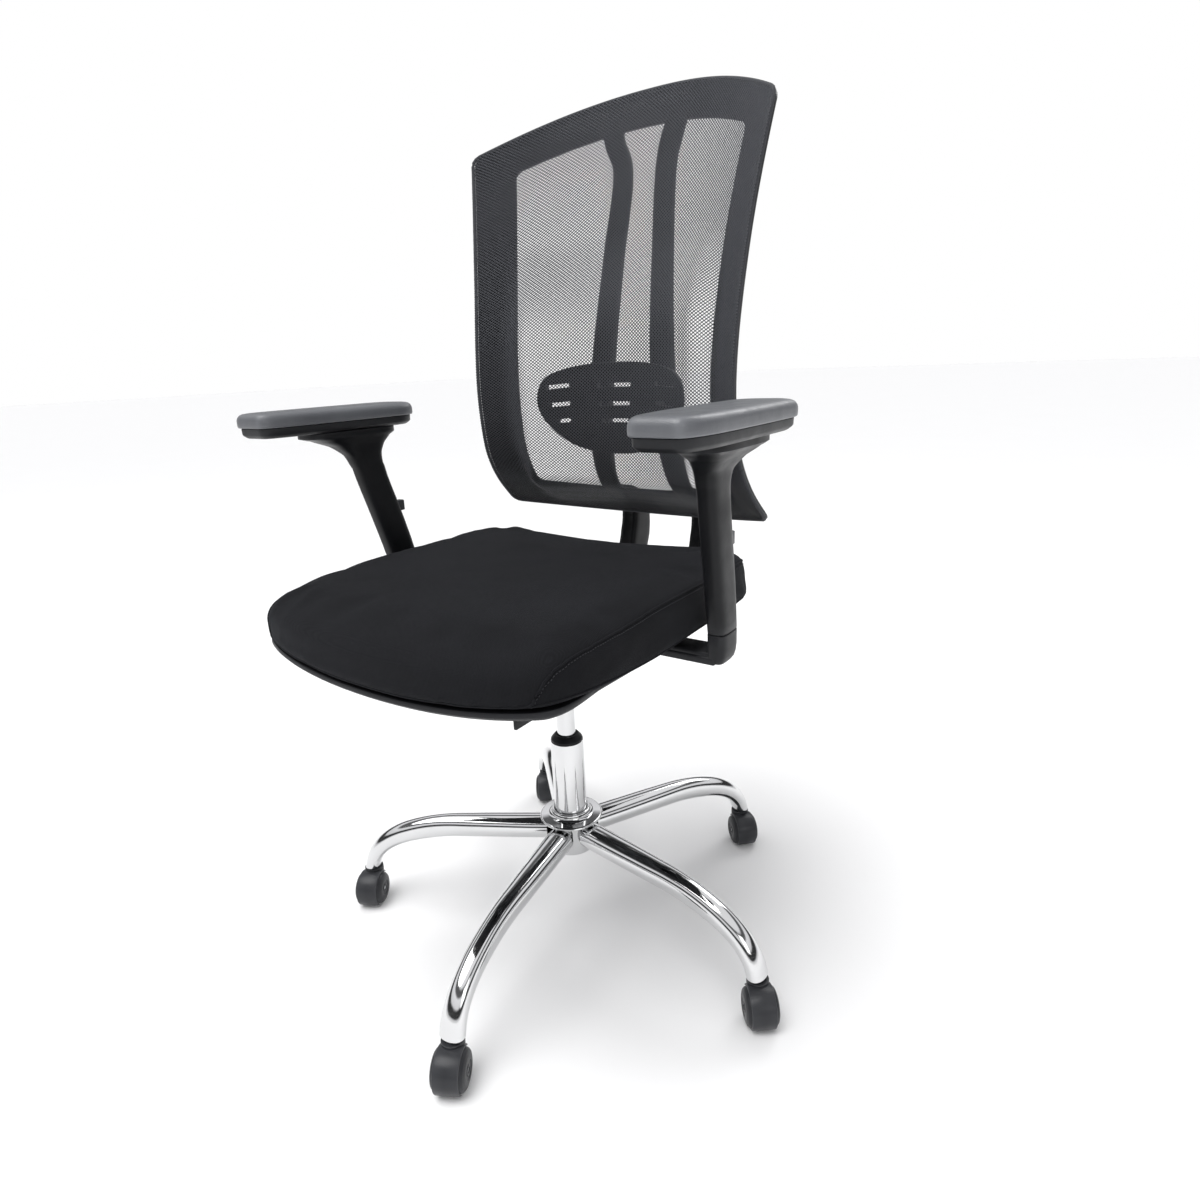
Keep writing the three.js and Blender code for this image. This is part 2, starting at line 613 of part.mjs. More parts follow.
function padGeometry() {
  const { bottom, top } = ARM_PAD;
  const levels = [[1.5, bottom], [0, bottom + 4], [0, top - 8], [2.5, top - 3], [8, top - 0.5], [22, top]];
  return stacked(padOutline(30), levels.map(([inset, z]) => [always(inset), always(z)]));
}

function padBaseGeometry() {
  const bottom = ARM_SECTIONS[ARM_SECTIONS.length - 1][0] + GAP;
  const top = ARM_PAD.bottom - GAP;
  const levels = [[9, bottom], [4, bottom + 3], [3.5, top]];
  return stacked(padOutline(30), levels.map(([inset, z]) => [always(inset), always(z)]));
}

function addArm(side, place) {
  add(`arm_bracket_${side}`, place(armBracketGeometry()), blackPlastic);
  add(`arm_sleeve_${side}`, place(armSleeveGeometry()), blackPlastic);
  add(`arm_button_${side}`, place(armButtonGeometry()), casterPlastic);
  add(`arm_pad_base_${side}`, place(padBaseGeometry()), blackPlastic);
  add(`arm_pad_${side}`, place(padGeometry()), padRubber);
}
addArm('left', (geometry) => geometry);
addArm('right', mirrored);

// ---- back ----

const backHalfWidth = (z) => {
  const bend = z > BACK_WAIST.z ? 2.14e-4 : 4.4e-4;
  return BACK_WAIST.halfWidth + bend * (z - BACK_WAIST.z) ** 2;
};

// The side edge of the back seen from the side: its depth at a few heights, joined smoothly.
const SIDE_EDGE = [[560, 242], [615, 189], [660, 144], [700, 119], [740, 108], [810, 103], [970, 124],
  [1145, 160], [1220, 176]];
const sideDepth = new THREE.CubicInterpolant(
  SIDE_EDGE.map(([z]) => z), SIDE_EDGE.map(([, y]) => y), 1,
);
const sideY = (z) => sideDepth.evaluate(max(560, min(1220, z)))[0];
const backY = (x, z) => sideY(z) + BACK_WRAP * (backHalfWidth(z) ** 2 - x * x);

const topEdge = (x) => BACK_TOP - BACK_TOP_DROP * abs(x / 245) ** 2.1;
const bottomEdge = (x) => BACK_BOTTOM + BACK_BOTTOM_RISE * (x / 234.5) ** 2;

// A point of the back: a and b run from -1 to 1 across and up, inset shrinks the outline.
function backPoint(a, b, inset, depthAt) {
  const across = (z) => a * (backHalfWidth(z) - inset);
  const up = (x) => lerp(bottomEdge(x) + inset, topEdge(x) - inset, (b + 1) / 2);
  const z = up(across(up(across(900))));
  const x = across(z);
  return vec(x, depthAt(x, z), z);
}

function unitOutline(count) {
  const corner = 0.05;
  const flat = 1 - corner;
  const path = new THREE.Path();
  path.absarc(flat, -flat, corner, -PI / 2, 0);
  path.absarc(flat, flat, corner, 0, PI / 2);
  path.absarc(-flat, flat, corner, PI / 2, PI);
  path.absarc(-flat, -flat, corner, PI, 1.5 * PI);
  path.closePath();
  return spacedLoop(path, count);
}

const backRing = (loop, scale, inset, depthAt) =>
  loop.map((p) => backPoint(p.x * scale, p.y * scale, inset, depthAt));

// How far the lumbar pad holds the mesh off the frame's surface: all of it behind the pad,
// fading out towards the window's edges.
function lumbarPush(x, z) {
  const acrossPad = 1 - smoothstep(abs(x), 138, 190);
  const upPad = 1 - smoothstep(z, 872, 1020);
  const downPad = smoothstep(z, 600, 670);
  return acrossPad * upPad * downPad * (LUMBAR.push + max(0, sideY(z) - 103.5));
}
const meshFrontY = (x, z) => backY(x, z) - lumbarPush(x, z);

function meshGeometry() {
  const [columns, rows] = [14, 18];
  const square = new THREE.PlaneGeometry(2, 2, columns, rows);
  const unit = square.attributes.position;
  const points = [];
  for (const depth of [0, MESH_THICKNESS]) {
    for (let i = 0; i < unit.count; i += 1) {
      const [a, b] = [unit.getX(i), unit.getY(i)];
      const round = 1 - 0.04 * (a * b) ** 8; // takes the points off the corners
      points.push(backPoint(a * round, b * round, 0, (x, z) => meshFrontY(x, z) + depth));
    }
  }
  const face = Array.from(square.index.array);
  const faces = [...face, ...face.map((corner) => corner + unit.count).reverse()];
  const wide = columns + 1;
  const edge = [];
  for (let i = 0; i < columns; i += 1) edge.push(i);
  for (let i = 0; i < rows; i += 1) edge.push(i * wide + columns);
  for (let i = columns; i > 0; i -= 1) edge.push(rows * wide + i);
  for (let i = rows; i > 0; i -= 1) edge.push(i * wide);
  edge.forEach((here, i) => {
    const next = edge[(i + 1) % edge.length];
    faces.push(here, next, next + unit.count, here, next + unit.count, here + unit.count);
  });
  const geometry = new THREE.BufferGeometry().setFromPoints(points);
  geometry.setIndex(faces);
  return closed(geometry);
}

const FRAME_FRONT = MESH_THICKNESS + 3.8;
const FRAME_REAR = 17;

function frameBorderGeometry(extra = 0, front = FRAME_FRONT) {
  const loop = unitOutline(36);
  const behind = (offset) => (x, z) => backY(x, z) + offset;
  return skin([
    backRing(loop, 1, 1 - extra, behind(front)),
    backRing(loop, 1, -extra, behind(FRAME_REAR - 5)),
    backRing(loop, 1, 3 - extra, behind(FRAME_REAR + extra)),
    backRing(loop, 1, FRAME_BORDER - 4 + extra, behind(FRAME_REAR + extra)),
    backRing(loop, 1, FRAME_BORDER + extra, behind(FRAME_REAR - 5)),
    backRing(loop, 1, FRAME_BORDER + extra, behind(front)),
  ], true);
}

// One of the two spines: from the top border, where it splays out, down to the bottom border.
// Each row: x, how far its front lies behind the back's surface, height, half width, half depth.
const SPINE_STATIONS = [
  [57, 6, 1178, 17, 5],
  [49, 7, 1150, 16.5, 6],
  [38, 15, 1118, 15.5, 8],
  [43, 24, 990, 15.5, 11],
  [52, 28, 850, 17.5, 13],
  [61, 22, 735, 18, 13],
  [67, 8, 655, 18, 6],
  [70, 7, 617, 17, 5],
];
function spineGeometry(extra = 0) {
  const path = new THREE.CatmullRomCurve3(
    SPINE_STATIONS.map(([x, setback, z, , halfDepth]) => vec(x, backY(x, z) + setback + halfDepth, z)),
    false, 'centripetal',
  );
  const sizeAt = (t, column) => {
    const place = t * (SPINE_STATIONS.length - 1);
    const below = min(SPINE_STATIONS.length - 2, place | 0);
    return lerp(SPINE_STATIONS[below][column], SPINE_STATIONS[below + 1][column], place - below);
  };
  const steps = 12;
  const rings = [];
  for (let i = 0; i <= steps; i += 1) {
    const t = i / steps;
    const tangent = path.getTangent(t);
    const across = vec(1, 0, 0).addScaledVector(tangent, -tangent.x).normalize();
    const deep = tangent.clone().cross(across);
    const [halfWidth, halfDepth] = [sizeAt(t, 3) + extra, sizeAt(t, 4) + extra];
    rings.push(ovalRing(path.getPoint(t), across, deep, halfWidth, halfDepth, 8, 4));
  }
  return skin(rings);
}

function backFrameGeometry() {
  const spine = spineGeometry();
  return join(frameBorderGeometry(), spine, mirrored(spine));
}

// The pad behind the mesh: a barrel-shaped plate with slits, on two lugs that ride the spines.
// Each row of slits: height, half length of the middle one, half length of the two at the sides.
const SLIT_ROWS = [[755, 24, 11], [780, 28, 17], [807, 30, 19]];
const SLIT_INNER_END = 76;
function lumbarGeometry() {
  const behindMesh = MESH_THICKNESS + 3.4 - LUMBAR.push;
  const frontY = (x) => 103.5 + BACK_WRAP * (backHalfWidth(775) ** 2 - x * x) + behindMesh;
  const path = new THREE.Shape();
  const { halfWidth, bottom, top, thickness } = LUMBAR;
  path.moveTo(0, bottom);
  path.quadraticCurveTo(62, bottom, 92, bottom + 24);
  path.quadraticCurveTo(halfWidth, bottom + 52, halfWidth, bottom + 82);
  path.quadraticCurveTo(halfWidth - 2, top - 20, halfWidth - 26, top - 13);
  path.quadraticCurveTo(70, top, 0, top);
  path.quadraticCurveTo(-70, top, -halfWidth + 26, top - 13);
  path.quadraticCurveTo(-halfWidth + 2, top - 20, -halfWidth, bottom + 82);
  path.quadraticCurveTo(-halfWidth, bottom + 52, -92, bottom + 24);
  path.quadraticCurveTo(-62, bottom, 0, bottom);
  const stations = 10;
  const bent = [];
  for (let i = 0; i <= stations; i += 1) {
    const x = lerp(-halfWidth - 5, halfWidth + 5, i / stations);
    const [front, rear] = [frontY(x), frontY(x) + thickness];
    bent.push([vec(x, front, 650), vec(x, rear, 650), vec(x, rear, 900), vec(x, front, 900)]);
  }
  const through = new THREE.ExtrudeGeometry(path, { depth: 400, bevelEnabled: false, curveSegments: 5 });
  const plate = overlap(skin(bent), through.rotateX(PI / 2).translate(0, 400, 0));
  const slits = [];
  for (const [z, middleHalf, sideHalf] of SLIT_ROWS) {
    slits.push(block(-middleHalf, 60, z - 3, middleHalf, 300, z + 3));
    for (const side of [-1, 1]) {
      const centre = side * (SLIT_INNER_END + sideHalf);
      slits.push(block(centre - sideHalf, 60, z - 3, centre + sideHalf, 300, z + 3));
    }
  }
  const lugs = [1, -1].map((side) => {
    const x = side * 57;
    return block(x - 11, frontY(x) + thickness - 4, 760, x + 11, 199, 800);
  });
  return cut(join(plate, ...lugs), ...slits);
}

// Two J-shaped struts from the back's bottom border round behind the seat to the pivot pin.
const STRUT_STATIONS = [ // depth, height, half thickness across the strut's run
  [292, 626, 10],
  [311, 612, 16],
  [327, 583, 26],
  [324, 545, 30],
  [305, 505, 27],
  [262, 464, 22],
  [200, 438, 17],
  [130, 427, 15],
  [60, 424, 14],
  [44, 424, 12],
];
function strutGeometry() {
  const path = new THREE.CatmullRomCurve3(
    STRUT_STATIONS.map(([y, z]) => vec(STRUT_X, y, z)), false, 'centripetal',
  );
  const steps = 14;
  const rings = [];
  for (let i = 0; i <= steps; i += 1) {
    const t = i / steps;
    const place = t * (STRUT_STATIONS.length - 1);
    const below = min(STRUT_STATIONS.length - 2, place | 0);
    const half = lerp(STRUT_STATIONS[below][2], STRUT_STATIONS[below + 1][2], place - below);
    const deep = path.getTangent(t).cross(vec(1, 0, 0)).normalize();
    rings.push(ovalRing(path.getPoint(t), vec(1, 0, 0), deep, STRUT_WIDTH / 2, half, 8, 5));
  }
  return skin(rings);
}

function backBracketGeometry() {
  const strut = strutGeometry();
  const crossbar = block(-STRUT_X, 112, 416, STRUT_X, 132, 438);
  const pinHole = pinX(BACK_PIVOT.radius + GAP, 120, BACK_PIVOT.y, BACK_PIVOT.z);
  const spine = spineGeometry(1);
  return cut(
    join(strut, mirrored(strut), crossbar), pinHole, frameBorderGeometry(1, -4), spine, mirrored(spine),
  );
}

add('back_bracket', backBracketGeometry(), blackPlastic);
add('back_frame', backFrameGeometry(), blackPlastic);
add('back_mesh', meshGeometry(), backFabric);
add('lumbar_pad', lumbarGeometry(), blackPlastic);

export default chair;
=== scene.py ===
import math

import bmesh
import bpy
import numpy as np
from mathutils import Matrix, Vector


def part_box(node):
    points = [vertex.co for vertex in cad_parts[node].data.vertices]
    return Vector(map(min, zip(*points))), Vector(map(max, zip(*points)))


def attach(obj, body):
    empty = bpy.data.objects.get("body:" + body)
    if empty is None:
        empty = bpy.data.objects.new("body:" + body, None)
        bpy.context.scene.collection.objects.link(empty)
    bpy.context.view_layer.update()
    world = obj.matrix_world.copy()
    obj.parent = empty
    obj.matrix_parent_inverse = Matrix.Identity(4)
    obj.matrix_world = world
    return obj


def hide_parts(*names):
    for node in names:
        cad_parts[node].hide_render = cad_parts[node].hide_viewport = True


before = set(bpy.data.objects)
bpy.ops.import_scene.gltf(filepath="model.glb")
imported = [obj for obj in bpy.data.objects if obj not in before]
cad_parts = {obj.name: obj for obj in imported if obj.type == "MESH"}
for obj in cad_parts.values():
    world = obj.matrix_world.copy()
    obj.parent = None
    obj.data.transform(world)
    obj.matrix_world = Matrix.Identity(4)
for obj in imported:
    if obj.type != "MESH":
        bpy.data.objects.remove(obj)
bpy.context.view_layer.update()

tube_low, tube_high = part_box("lift_outer_tube")
AXIS = np.array([(tube_low.x + tube_high.x) / 2, (tube_low.y + tube_high.y) / 2, 0.0])
MM = 0.001
UP = np.array([0.0, 0.0, 1.0])
RIGHT = np.array([1.0, 0.0, 0.0])
scene = bpy.context.scene


def vec(*values):
    return np.array(values, float)


def smoothstep(x, low, high):
    t = np.clip((x - low) / (high - low), 0, 1)
    return t * t * (3 - 2 * t)


def lerp(a, b, t):
    return a + (b - a) * t


def unit(v):
    return v / (np.linalg.norm(v) + 1e-12)


def tangent_at(path, i):
    """The direction of an open path of points at its point i."""
    return unit(path[min(i + 1, len(path) - 1)] - path[max(i - 1, 0)])


# ---------------------------------------------------------------- curves


def catmull(points, count):
    """count + 1 points on a centripetal Catmull-Rom curve, evenly spread over its spans."""
    pts = [np.asarray(p, float) for p in points]
    pts = [2 * pts[0] - pts[1]] + pts + [2 * pts[-1] - pts[-2]]
    spans = len(pts) - 3
    out = []
    for k in range(count + 1):
        place = spans * k / count
        i = min(int(place), spans - 1)
        t = place - i
        p0, p1, p2, p3 = pts[i:i + 4]
        d0, d1, d2 = (max(np.linalg.norm(b - a), 1e-6) ** 0.5 for a, b in ((p0, p1), (p1, p2), (p2, p3)))
        m1 = ((p1 - p0) / d0 - (p2 - p0) / (d0 + d1) + (p2 - p1) / d1) * d1
        m2 = ((p2 - p1) / d1 - (p3 - p1) / (d1 + d2) + (p3 - p2) / d2) * d1
        h = (2 * t**3 - 3 * t**2 + 1, t**3 - 2 * t**2 + t, -2 * t**3 + 3 * t**2, t**3 - t**2)
        out.append(h[0] * p1 + h[1] * m1 + h[2] * p2 + h[3] * m2)
    return out


def spread(points, count, loop=True):
    """Points respaced evenly along a dense polyline."""
    pts = np.array(points + [points[0]] if loop else points)
    run = np.concatenate([[0], np.cumsum(np.linalg.norm(np.diff(pts, axis=0), axis=1))])
    at = np.linspace(0, run[-1], count + 1)
    out = np.stack([np.interp(at, run, pts[:, i]) for i in range(pts.shape[1])], 1)
    return out[:-1] if loop else out


def path2d(start, *steps):
    """A dense flat polyline. A step has 1 point (line), 2 (quadratic) or 3 (cubic Bezier)."""
    out = [vec(*start)]
    for step in steps:
        control = [out[-1]] + [vec(*p) for p in step]
        order = len(control) - 1
        for t in np.linspace(0, 1, 24)[1:]:
            out.append(sum(math.comb(order, i) * (1 - t) ** (order - i) * t**i * p
                           for i, p in enumerate(control)))
    return out


def mirror_path(half):
    """Completes a path that runs from x = 0 to x = 0 on the +X side."""
    return half + [p * vec(-1, 1) for p in half[-2:0:-1]]


# ---------------------------------------------------------------- surfaces


def oval(centre, across, up, half_width, half_height, sides=24, power=2.0):
    ring = []
    for i in range(sides):
        angle = (i + 0.5) * 2 * math.pi / sides
        c, s = math.cos(angle), math.sin(angle)
        u = half_width * math.copysign(abs(c) ** (2 / power), c)
        v = half_height * math.copysign(abs(s) ** (2 / power), s)
        ring.append(centre + across * u + up * v)
    return ring


def skin(rings, loop=False):
    """A closed tube through rings of equal length; open ends get a fan."""
    count = len(rings[0])
    verts = [p for ring in rings for p in ring]
    faces = []
    for r in range(len(rings) if loop else len(rings) - 1):
        here, there = r * count, ((r + 1) % len(rings)) * count
        for i in range(count):
            j = (i + 1) % count
            faces.append((here + i, here + j, there + j, there + i))
    if not loop:
        for start in (0, (len(rings) - 1) * count):
            middle = sum(verts[start:start + count]) / count
            verts.append(middle)
            for i in range(count):
                faces.append((start + i, start + (i + 1) % count, len(verts) - 1))
    return verts, faces


def turned(profile, segments=64, axis="z"):
    """Turns a closed or axis-ended profile of (radius, height) about an axis through the origin."""
    verts, faces, rows = [], [], []
    for radius, height in profile:
        if radius < 1e-6:
            rows.append([len(verts)])
            verts.append(vec(0, 0, height))
            continue
        rows.append(list(range(len(verts), len(verts) + segments)))
        for i in range(segments):
            angle = 2 * math.pi * i / segments
            verts.append(vec(radius * math.cos(angle), radius * math.sin(angle), height))
    closed = profile[0][0] > 1e-6
    for k in range(len(rows) if closed else len(rows) - 1):
        a, b = rows[k], rows[(k + 1) % len(rows)]
        for i in range(segments):
            j = (i + 1) % segments
            face = [a[i % len(a)], a[j % len(a)], b[j % len(b)], b[i % len(b)]]
            face = [v for n, v in enumerate(face) if v not in face[:n]]
            if len(face) > 2:
                faces.append(tuple(face))
    if axis == "x":
        verts = [vec(v[2], v[1], -v[0]) for v in verts]
    return verts, faces


def rounded_profile(corners, radius, steps=4):
    """Rounds every corner of a profile of (radius, height) that is off the axis."""
    out = []
    pts = [vec(*c) for c in corners]
    closed = corners[0][0] > 1e-6
    for i, p in enumerate(pts):
        inner = closed or 0 < i < len(pts) - 1
        if not inner:
            out.append(tuple(p))
            continue
        before, after = pts[i - 1], pts[(i + 1) % len(pts)]
        reach = min(radius, 0.45 * np.linalg.norm(before - p), 0.45 * np.linalg.norm(after - p))
        a, b = p + unit(before - p) * reach, p + unit(after - p) * reach
        for t in np.linspace(0, 1, steps + 1):
            out.append(tuple((1 - t) ** 2 * a + 2 * t * (1 - t) * p + t * t * b))
    return out


def lathe(corners, radius=0.8, segments=64, axis="z"):
    return turned(rounded_profile(corners, radius), segments, axis)


def rod(radius, bottom, top, soft=0.6, segments=48, axis="z"):
    return lathe([(0, bottom), (radius, bottom), (radius, top), (0, top)], soft, segments, axis)


def block(low, high, soft=1.5):
    """A box with rounded edges."""
    bm = bmesh.new()
    bmesh.ops.create_cube(bm, size=1)
    low, high = vec(*low), vec(*high)
    for v in bm.verts:
        v.co = Vector((low + high) / 2 + (high - low) * np.array(v.co))
    bmesh.ops.bevel(bm, geom=list(bm.edges), offset=soft, segments=3, profile=0.5, affect="EDGES")
    bm.verts.index_update()
    verts = [np.array(v.co) for v in bm.verts]
    faces = [tuple(v.index for v in f.verts) for f in bm.faces]
    bm.free()
    return verts, faces


def moved(shape, x=0.0, y=0.0, z=0.0):
    return [v + vec(x, y, z) for v in shape[0]], shape[1]


def spun(shape, degrees):
    c, s = math.cos(math.radians(degrees)), math.sin(math.radians(degrees))
    return [vec(c * v[0] - s * v[1], s * v[0] + c * v[1], v[2]) for v in shape[0]], shape[1]


def flipped(shape):
    return [v * vec(-1, 1, 1) for v in shape[0]], [f[::-1] for f in shape[1]]


def both(*shapes):
    verts, faces = [], []
    for v, f in shapes:
        start = len(verts)
        verts += list(v)
        faces += [tuple(i + start for i in face) for face in f]
    return verts, faces


def inset_loop(loop, amount):
    before, after = np.roll(loop, 1, 0), np.roll(loop, -1, 0)
    along = after - before
    along /= np.linalg.norm(along, axis=1)[:, None] + 1e-9
    amount = np.broadcast_to(amount, (len(loop),))
    return loop + np.stack([-along[:, 1], along[:, 0]], 1) * amount[:, None]


def stacked(loop, levels):
    """Inset copies of a flat loop; each level gives its inset(loop) and height(x, y)."""
    rings = []
    for inset, height in levels:
        amount = inset(loop) if callable(inset) else inset
        ring = inset_loop(loop, amount)
        z = height(ring[:, 0], ring[:, 1]) if callable(height) else np.full(len(ring), height)
        rings.append([vec(p[0], p[1], h) for p, h in zip(ring, np.broadcast_to(z, len(ring)))])
    return skin(rings)


# ---------------------------------------------------------------- making pieces


def raw_mesh(name, shape):
    verts, faces = shape
    mesh = bpy.data.meshes.new(name)
    mesh.from_pydata([tuple(AXIS + np.asarray(v) * MM) for v in verts], [], faces)
    return mesh


def make(name, shape, material, body, stands_for=None, angle=35, cut_below=None):
    """A piece that rides on a body."""
    mesh = raw_mesh(name, shape)
    bm = bmesh.new()
    bm.from_mesh(mesh)
    bmesh.ops.remove_doubles(bm, verts=bm.verts, dist=1e-6)
    if cut_below is not None:
        geom = list(bm.verts) + list(bm.edges) + list(bm.faces)
        cut = bmesh.ops.bisect_plane(bm, geom=geom, plane_co=(0, 0, cut_below * MM),
                                     plane_no=(0, 0, 1), clear_inner=True)
        rim = [e for e in cut["geom_cut"] if isinstance(e, bmesh.types.BMEdge)]
        bmesh.ops.edgenet_fill(bm, edges=rim)
    bmesh.ops.recalc_face_normals(bm, faces=bm.faces)
    bm.to_mesh(mesh)
    bm.free()
    piece = bpy.data.objects.new(name, mesh)
    scene.collection.objects.link(piece)
    mesh.materials.append(material)
    smooth(piece, angle)
    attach(piece, body)
    if stands_for:
        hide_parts(stands_for)
    return piece


def apply_modifiers(piece):
    depsgraph = bpy.context.evaluated_depsgraph_get()
    fresh = bpy.data.meshes.new_from_object(piece.evaluated_get(depsgraph))
    piece.modifiers.clear()
    piece.data = fresh


def smooth(piece, angle):
    """Smooth shading with sharp edges above the angle."""
    mesh = piece.data
    mesh.polygons.foreach_set("use_smooth", [True] * len(mesh.polygons))
    mesh.set_sharp_from_angle(angle=math.radians(angle))


# ---------------------------------------------------------------- materials


class Look:
    """One procedural material: a Principled shader and short calls for the nodes that feed it."""

    def __init__(self, name, color, roughness, metallic=0.0, **sockets):
        self.material = bpy.data.materials.new(name)
        self.material.use_nodes = True
        self.tree = self.material.node_tree
        self.shader = self.tree.nodes["Principled BSDF"]
        self.shader.inputs["Base Color"].default_value = (*color, 1)
        self.shader.inputs["Roughness"].default_value = roughness
        self.shader.inputs["Metallic"].default_value = metallic
        for socket, value in sockets.items():
            self.shader.inputs[socket.replace("_", " ")].default_value = value
        self.place = self.tree.nodes.new("ShaderNodeTexCoord").outputs["Object"]

    def node(self, kind, inputs=None, **settings):
        node = self.tree.nodes.new("ShaderNode" + kind)
        for key, value in settings.items():
            setattr(node, key, value)
        for key, value in (inputs or {}).items():
            if isinstance(value, bpy.types.NodeSocket):
                self.tree.links.new(value, node.inputs[key])
            else:
                node.inputs[key].default_value = value
        return node

    def math(self, operation, a, b=0.0, c=0.0):
        return self.node("Math", {0: a, 1: b, 2: c}, operation=operation).outputs[0]

    def noise(self, scale, detail=4.0, stretch=None, roughness=0.55):
        place = self.place
        if stretch:
            place = self.node("Mapping", {"Vector": place, "Scale": stretch}).outputs[0]
        inputs = {"Vector": place, "Scale": scale, "Detail": detail, "Roughness": roughness}
        return self.node("TexNoise", inputs).outputs["Fac"]

    def mix(self, factor, a, b):
        a, b = ((*c, 1) if isinstance(c, tuple) and len(c) == 3 else c for c in (a, b))
        node = self.node("Mix", data_type="RGBA")
        for socket, value in ((node.inputs[0], factor), (node.inputs[6], a), (node.inputs[7], b)):
            if isinstance(value, bpy.types.NodeSocket):
                self.tree.links.new(value, socket)
            else:
                socket.default_value = value
        return node.outputs[2]

    def ramp(self, value, low, high, to_low=0.0, to_high=1.0):
        inputs = {"Value": value, "From Min": low, "From Max": high, "To Min": to_low, "To Max": to_high}
        return self.node("MapRange", inputs).outputs[0]

    def set(self, socket, value):
        self.tree.links.new(value, self.shader.inputs[socket])

    def bump(self, height, distance, strength=1.0, below=None):
        inputs = {"Height": height, "Distance": distance, "Strength": strength}
        if below:
            inputs["Normal"] = below
        normal = self.node("Bump", inputs).outputs[0]
        self.set("Normal", normal)
        return normal

    def worn_edges(self):
        pointiness = self.node("NewGeometry").outputs["Pointiness"]
        return self.ramp(pointiness, 0.505, 0.56)


def chrome_look():
    look = Look("chrome", (0.83, 0.84, 0.86), 0.07, 1.0)
    cloud = look.noise(9.0, 3.0)
    look.set("Base Color", look.mix(cloud, (0.6, 0.605, 0.61), (0.76, 0.76, 0.765)))
    wiped = look.noise(60.0, 5.0, (1, 1, 6))
    look.set("Roughness", look.ramp(wiped, 0.3, 0.75, 0.03, 0.15))
    look.bump(look.noise(26.0, 2.0), 0.0012, 0.16)
    return look.material


def steel_look():
    look = Look("steel", (0.5, 0.51, 0.53), 0.35, 1.0)
    turned_marks = look.noise(240.0, 3.0, (1, 1, 8))
    look.set("Roughness", look.ramp(turned_marks, 0.3, 0.7, 0.25, 0.45))
    look.set("Base Color", look.mix(turned_marks, (0.42, 0.43, 0.45), (0.6, 0.61, 0.62)))
    look.bump(turned_marks, 0.0002, 0.4)
    return look.material


def plastic_look(name, color, light, roughness, grain=1500.0, depth=0.00025, coat=0.0):
    look = Look(name, color, roughness, Coat_Weight=coat, Coat_Roughness=0.25, Specular_IOR_Level=0.18)
    patches = look.ramp(look.noise(14.0, 5.0), 0.3, 0.72)
    base = look.mix(patches, color, light)
    worn = look.math("MULTIPLY", look.worn_edges(), 0.35)
    look.set("Base Color", look.mix(worn, base, tuple(min(1.0, 3.2 * c + 0.02) for c in light)))
    rough = look.ramp(look.noise(38.0, 6.0), 0.3, 0.7, roughness - 0.07, roughness + 0.09)
    look.set("Roughness", rough)
    cells = look.node("TexVoronoi", {"Vector": look.place, "Scale": grain}, feature="SMOOTH_F1")
    look.bump(cells.outputs["Distance"], depth, 0.35)
    return look.material


def powder_look():
    look = Look("black_steel", (0.02, 0.021, 0.023), 0.5, 0.35)
    look.set("Base Color", look.mix(look.noise(30.0), (0.014, 0.015, 0.017), (0.04, 0.042, 0.046)))
    look.bump(look.noise(700.0, 3.0), 0.0004, 0.5)
    look.set("Roughness", look.ramp(look.noise(90.0), 0.3, 0.7, 0.38, 0.6))
    return look.material


def pad_look():
    look = Look("pad_polyurethane", (0.05, 0.053, 0.06), 0.42, Sheen_Weight=0.06, Sheen_Roughness=0.4)
    patches = look.ramp(look.noise(11.0, 5.0), 0.3, 0.7)
    base = look.mix(patches, (0.075, 0.079, 0.088), (0.105, 0.11, 0.12))
    worn = look.math("MULTIPLY", look.worn_edges(), 0.3)
    look.set("Base Color", look.mix(worn, base, (0.3, 0.31, 0.33)))
    look.set("Roughness", look.ramp(look.noise(45.0, 6.0), 0.3, 0.7, 0.33, 0.5))
    pebbles = look.node("TexVoronoi", {"Vector": look.place, "Scale": 900.0}, feature="SMOOTH_F1")
    first = look.bump(pebbles.outputs["Distance"], 0.0005, 0.35)
    look.bump(look.noise(120.0, 4.0), 0.0006, 0.2, first)
    return look.material


def seat_fabric_look():
    """Plain weave: two crossed sets of yarns, 0.9 mm apart, that pass over and under in turn."""
    look = Look("seat_fabric", (0.01, 0.0105, 0.0135), 0.88, Sheen_Weight=0.03, Sheen_Roughness=0.4,
                Sheen_Tint=(0.62, 0.66, 0.78, 1), Specular_IOR_Level=0.15)
    axes = look.node("SeparateXYZ", {0: look.place}).outputs
    turns = 2 * math.pi / 0.0018
    warp = look.math("MULTIPLY", look.math("ADD", axes[0], axes[2]), turns)
    weft = look.math("MULTIPLY", look.math("SUBTRACT", axes[1], axes[2]), turns)
    over = look.math("MULTIPLY", look.math("SINE", warp), look.math("SINE", weft))
    yarn = look.ramp(over, -1.0, 1.0)
    flecks = look.ramp(look.noise(900.0, 2.0), 0.35, 0.75)
    patches = look.ramp(look.noise(7.0, 5.0), 0.3, 0.7)
    dark = look.mix(patches, (0.0025, 0.0026, 0.0032), (0.0045, 0.0047, 0.0058))
    light = look.mix(patches, (0.008, 0.0083, 0.0102), (0.013, 0.0135, 0.0165))
    tone = look.math("MULTIPLY_ADD", yarn, 0.6, look.math("MULTIPLY", flecks, 0.4))
    look.set("Base Color", look.mix(tone, dark, light))
    look.set("Roughness", look.ramp(flecks, 0.0, 1.0, 0.8, 0.96))
    first = look.bump(yarn, 0.0004, 0.8)
    look.bump(look.noise(55.0, 4.0), 0.002, 0.12, first)
    return look.material


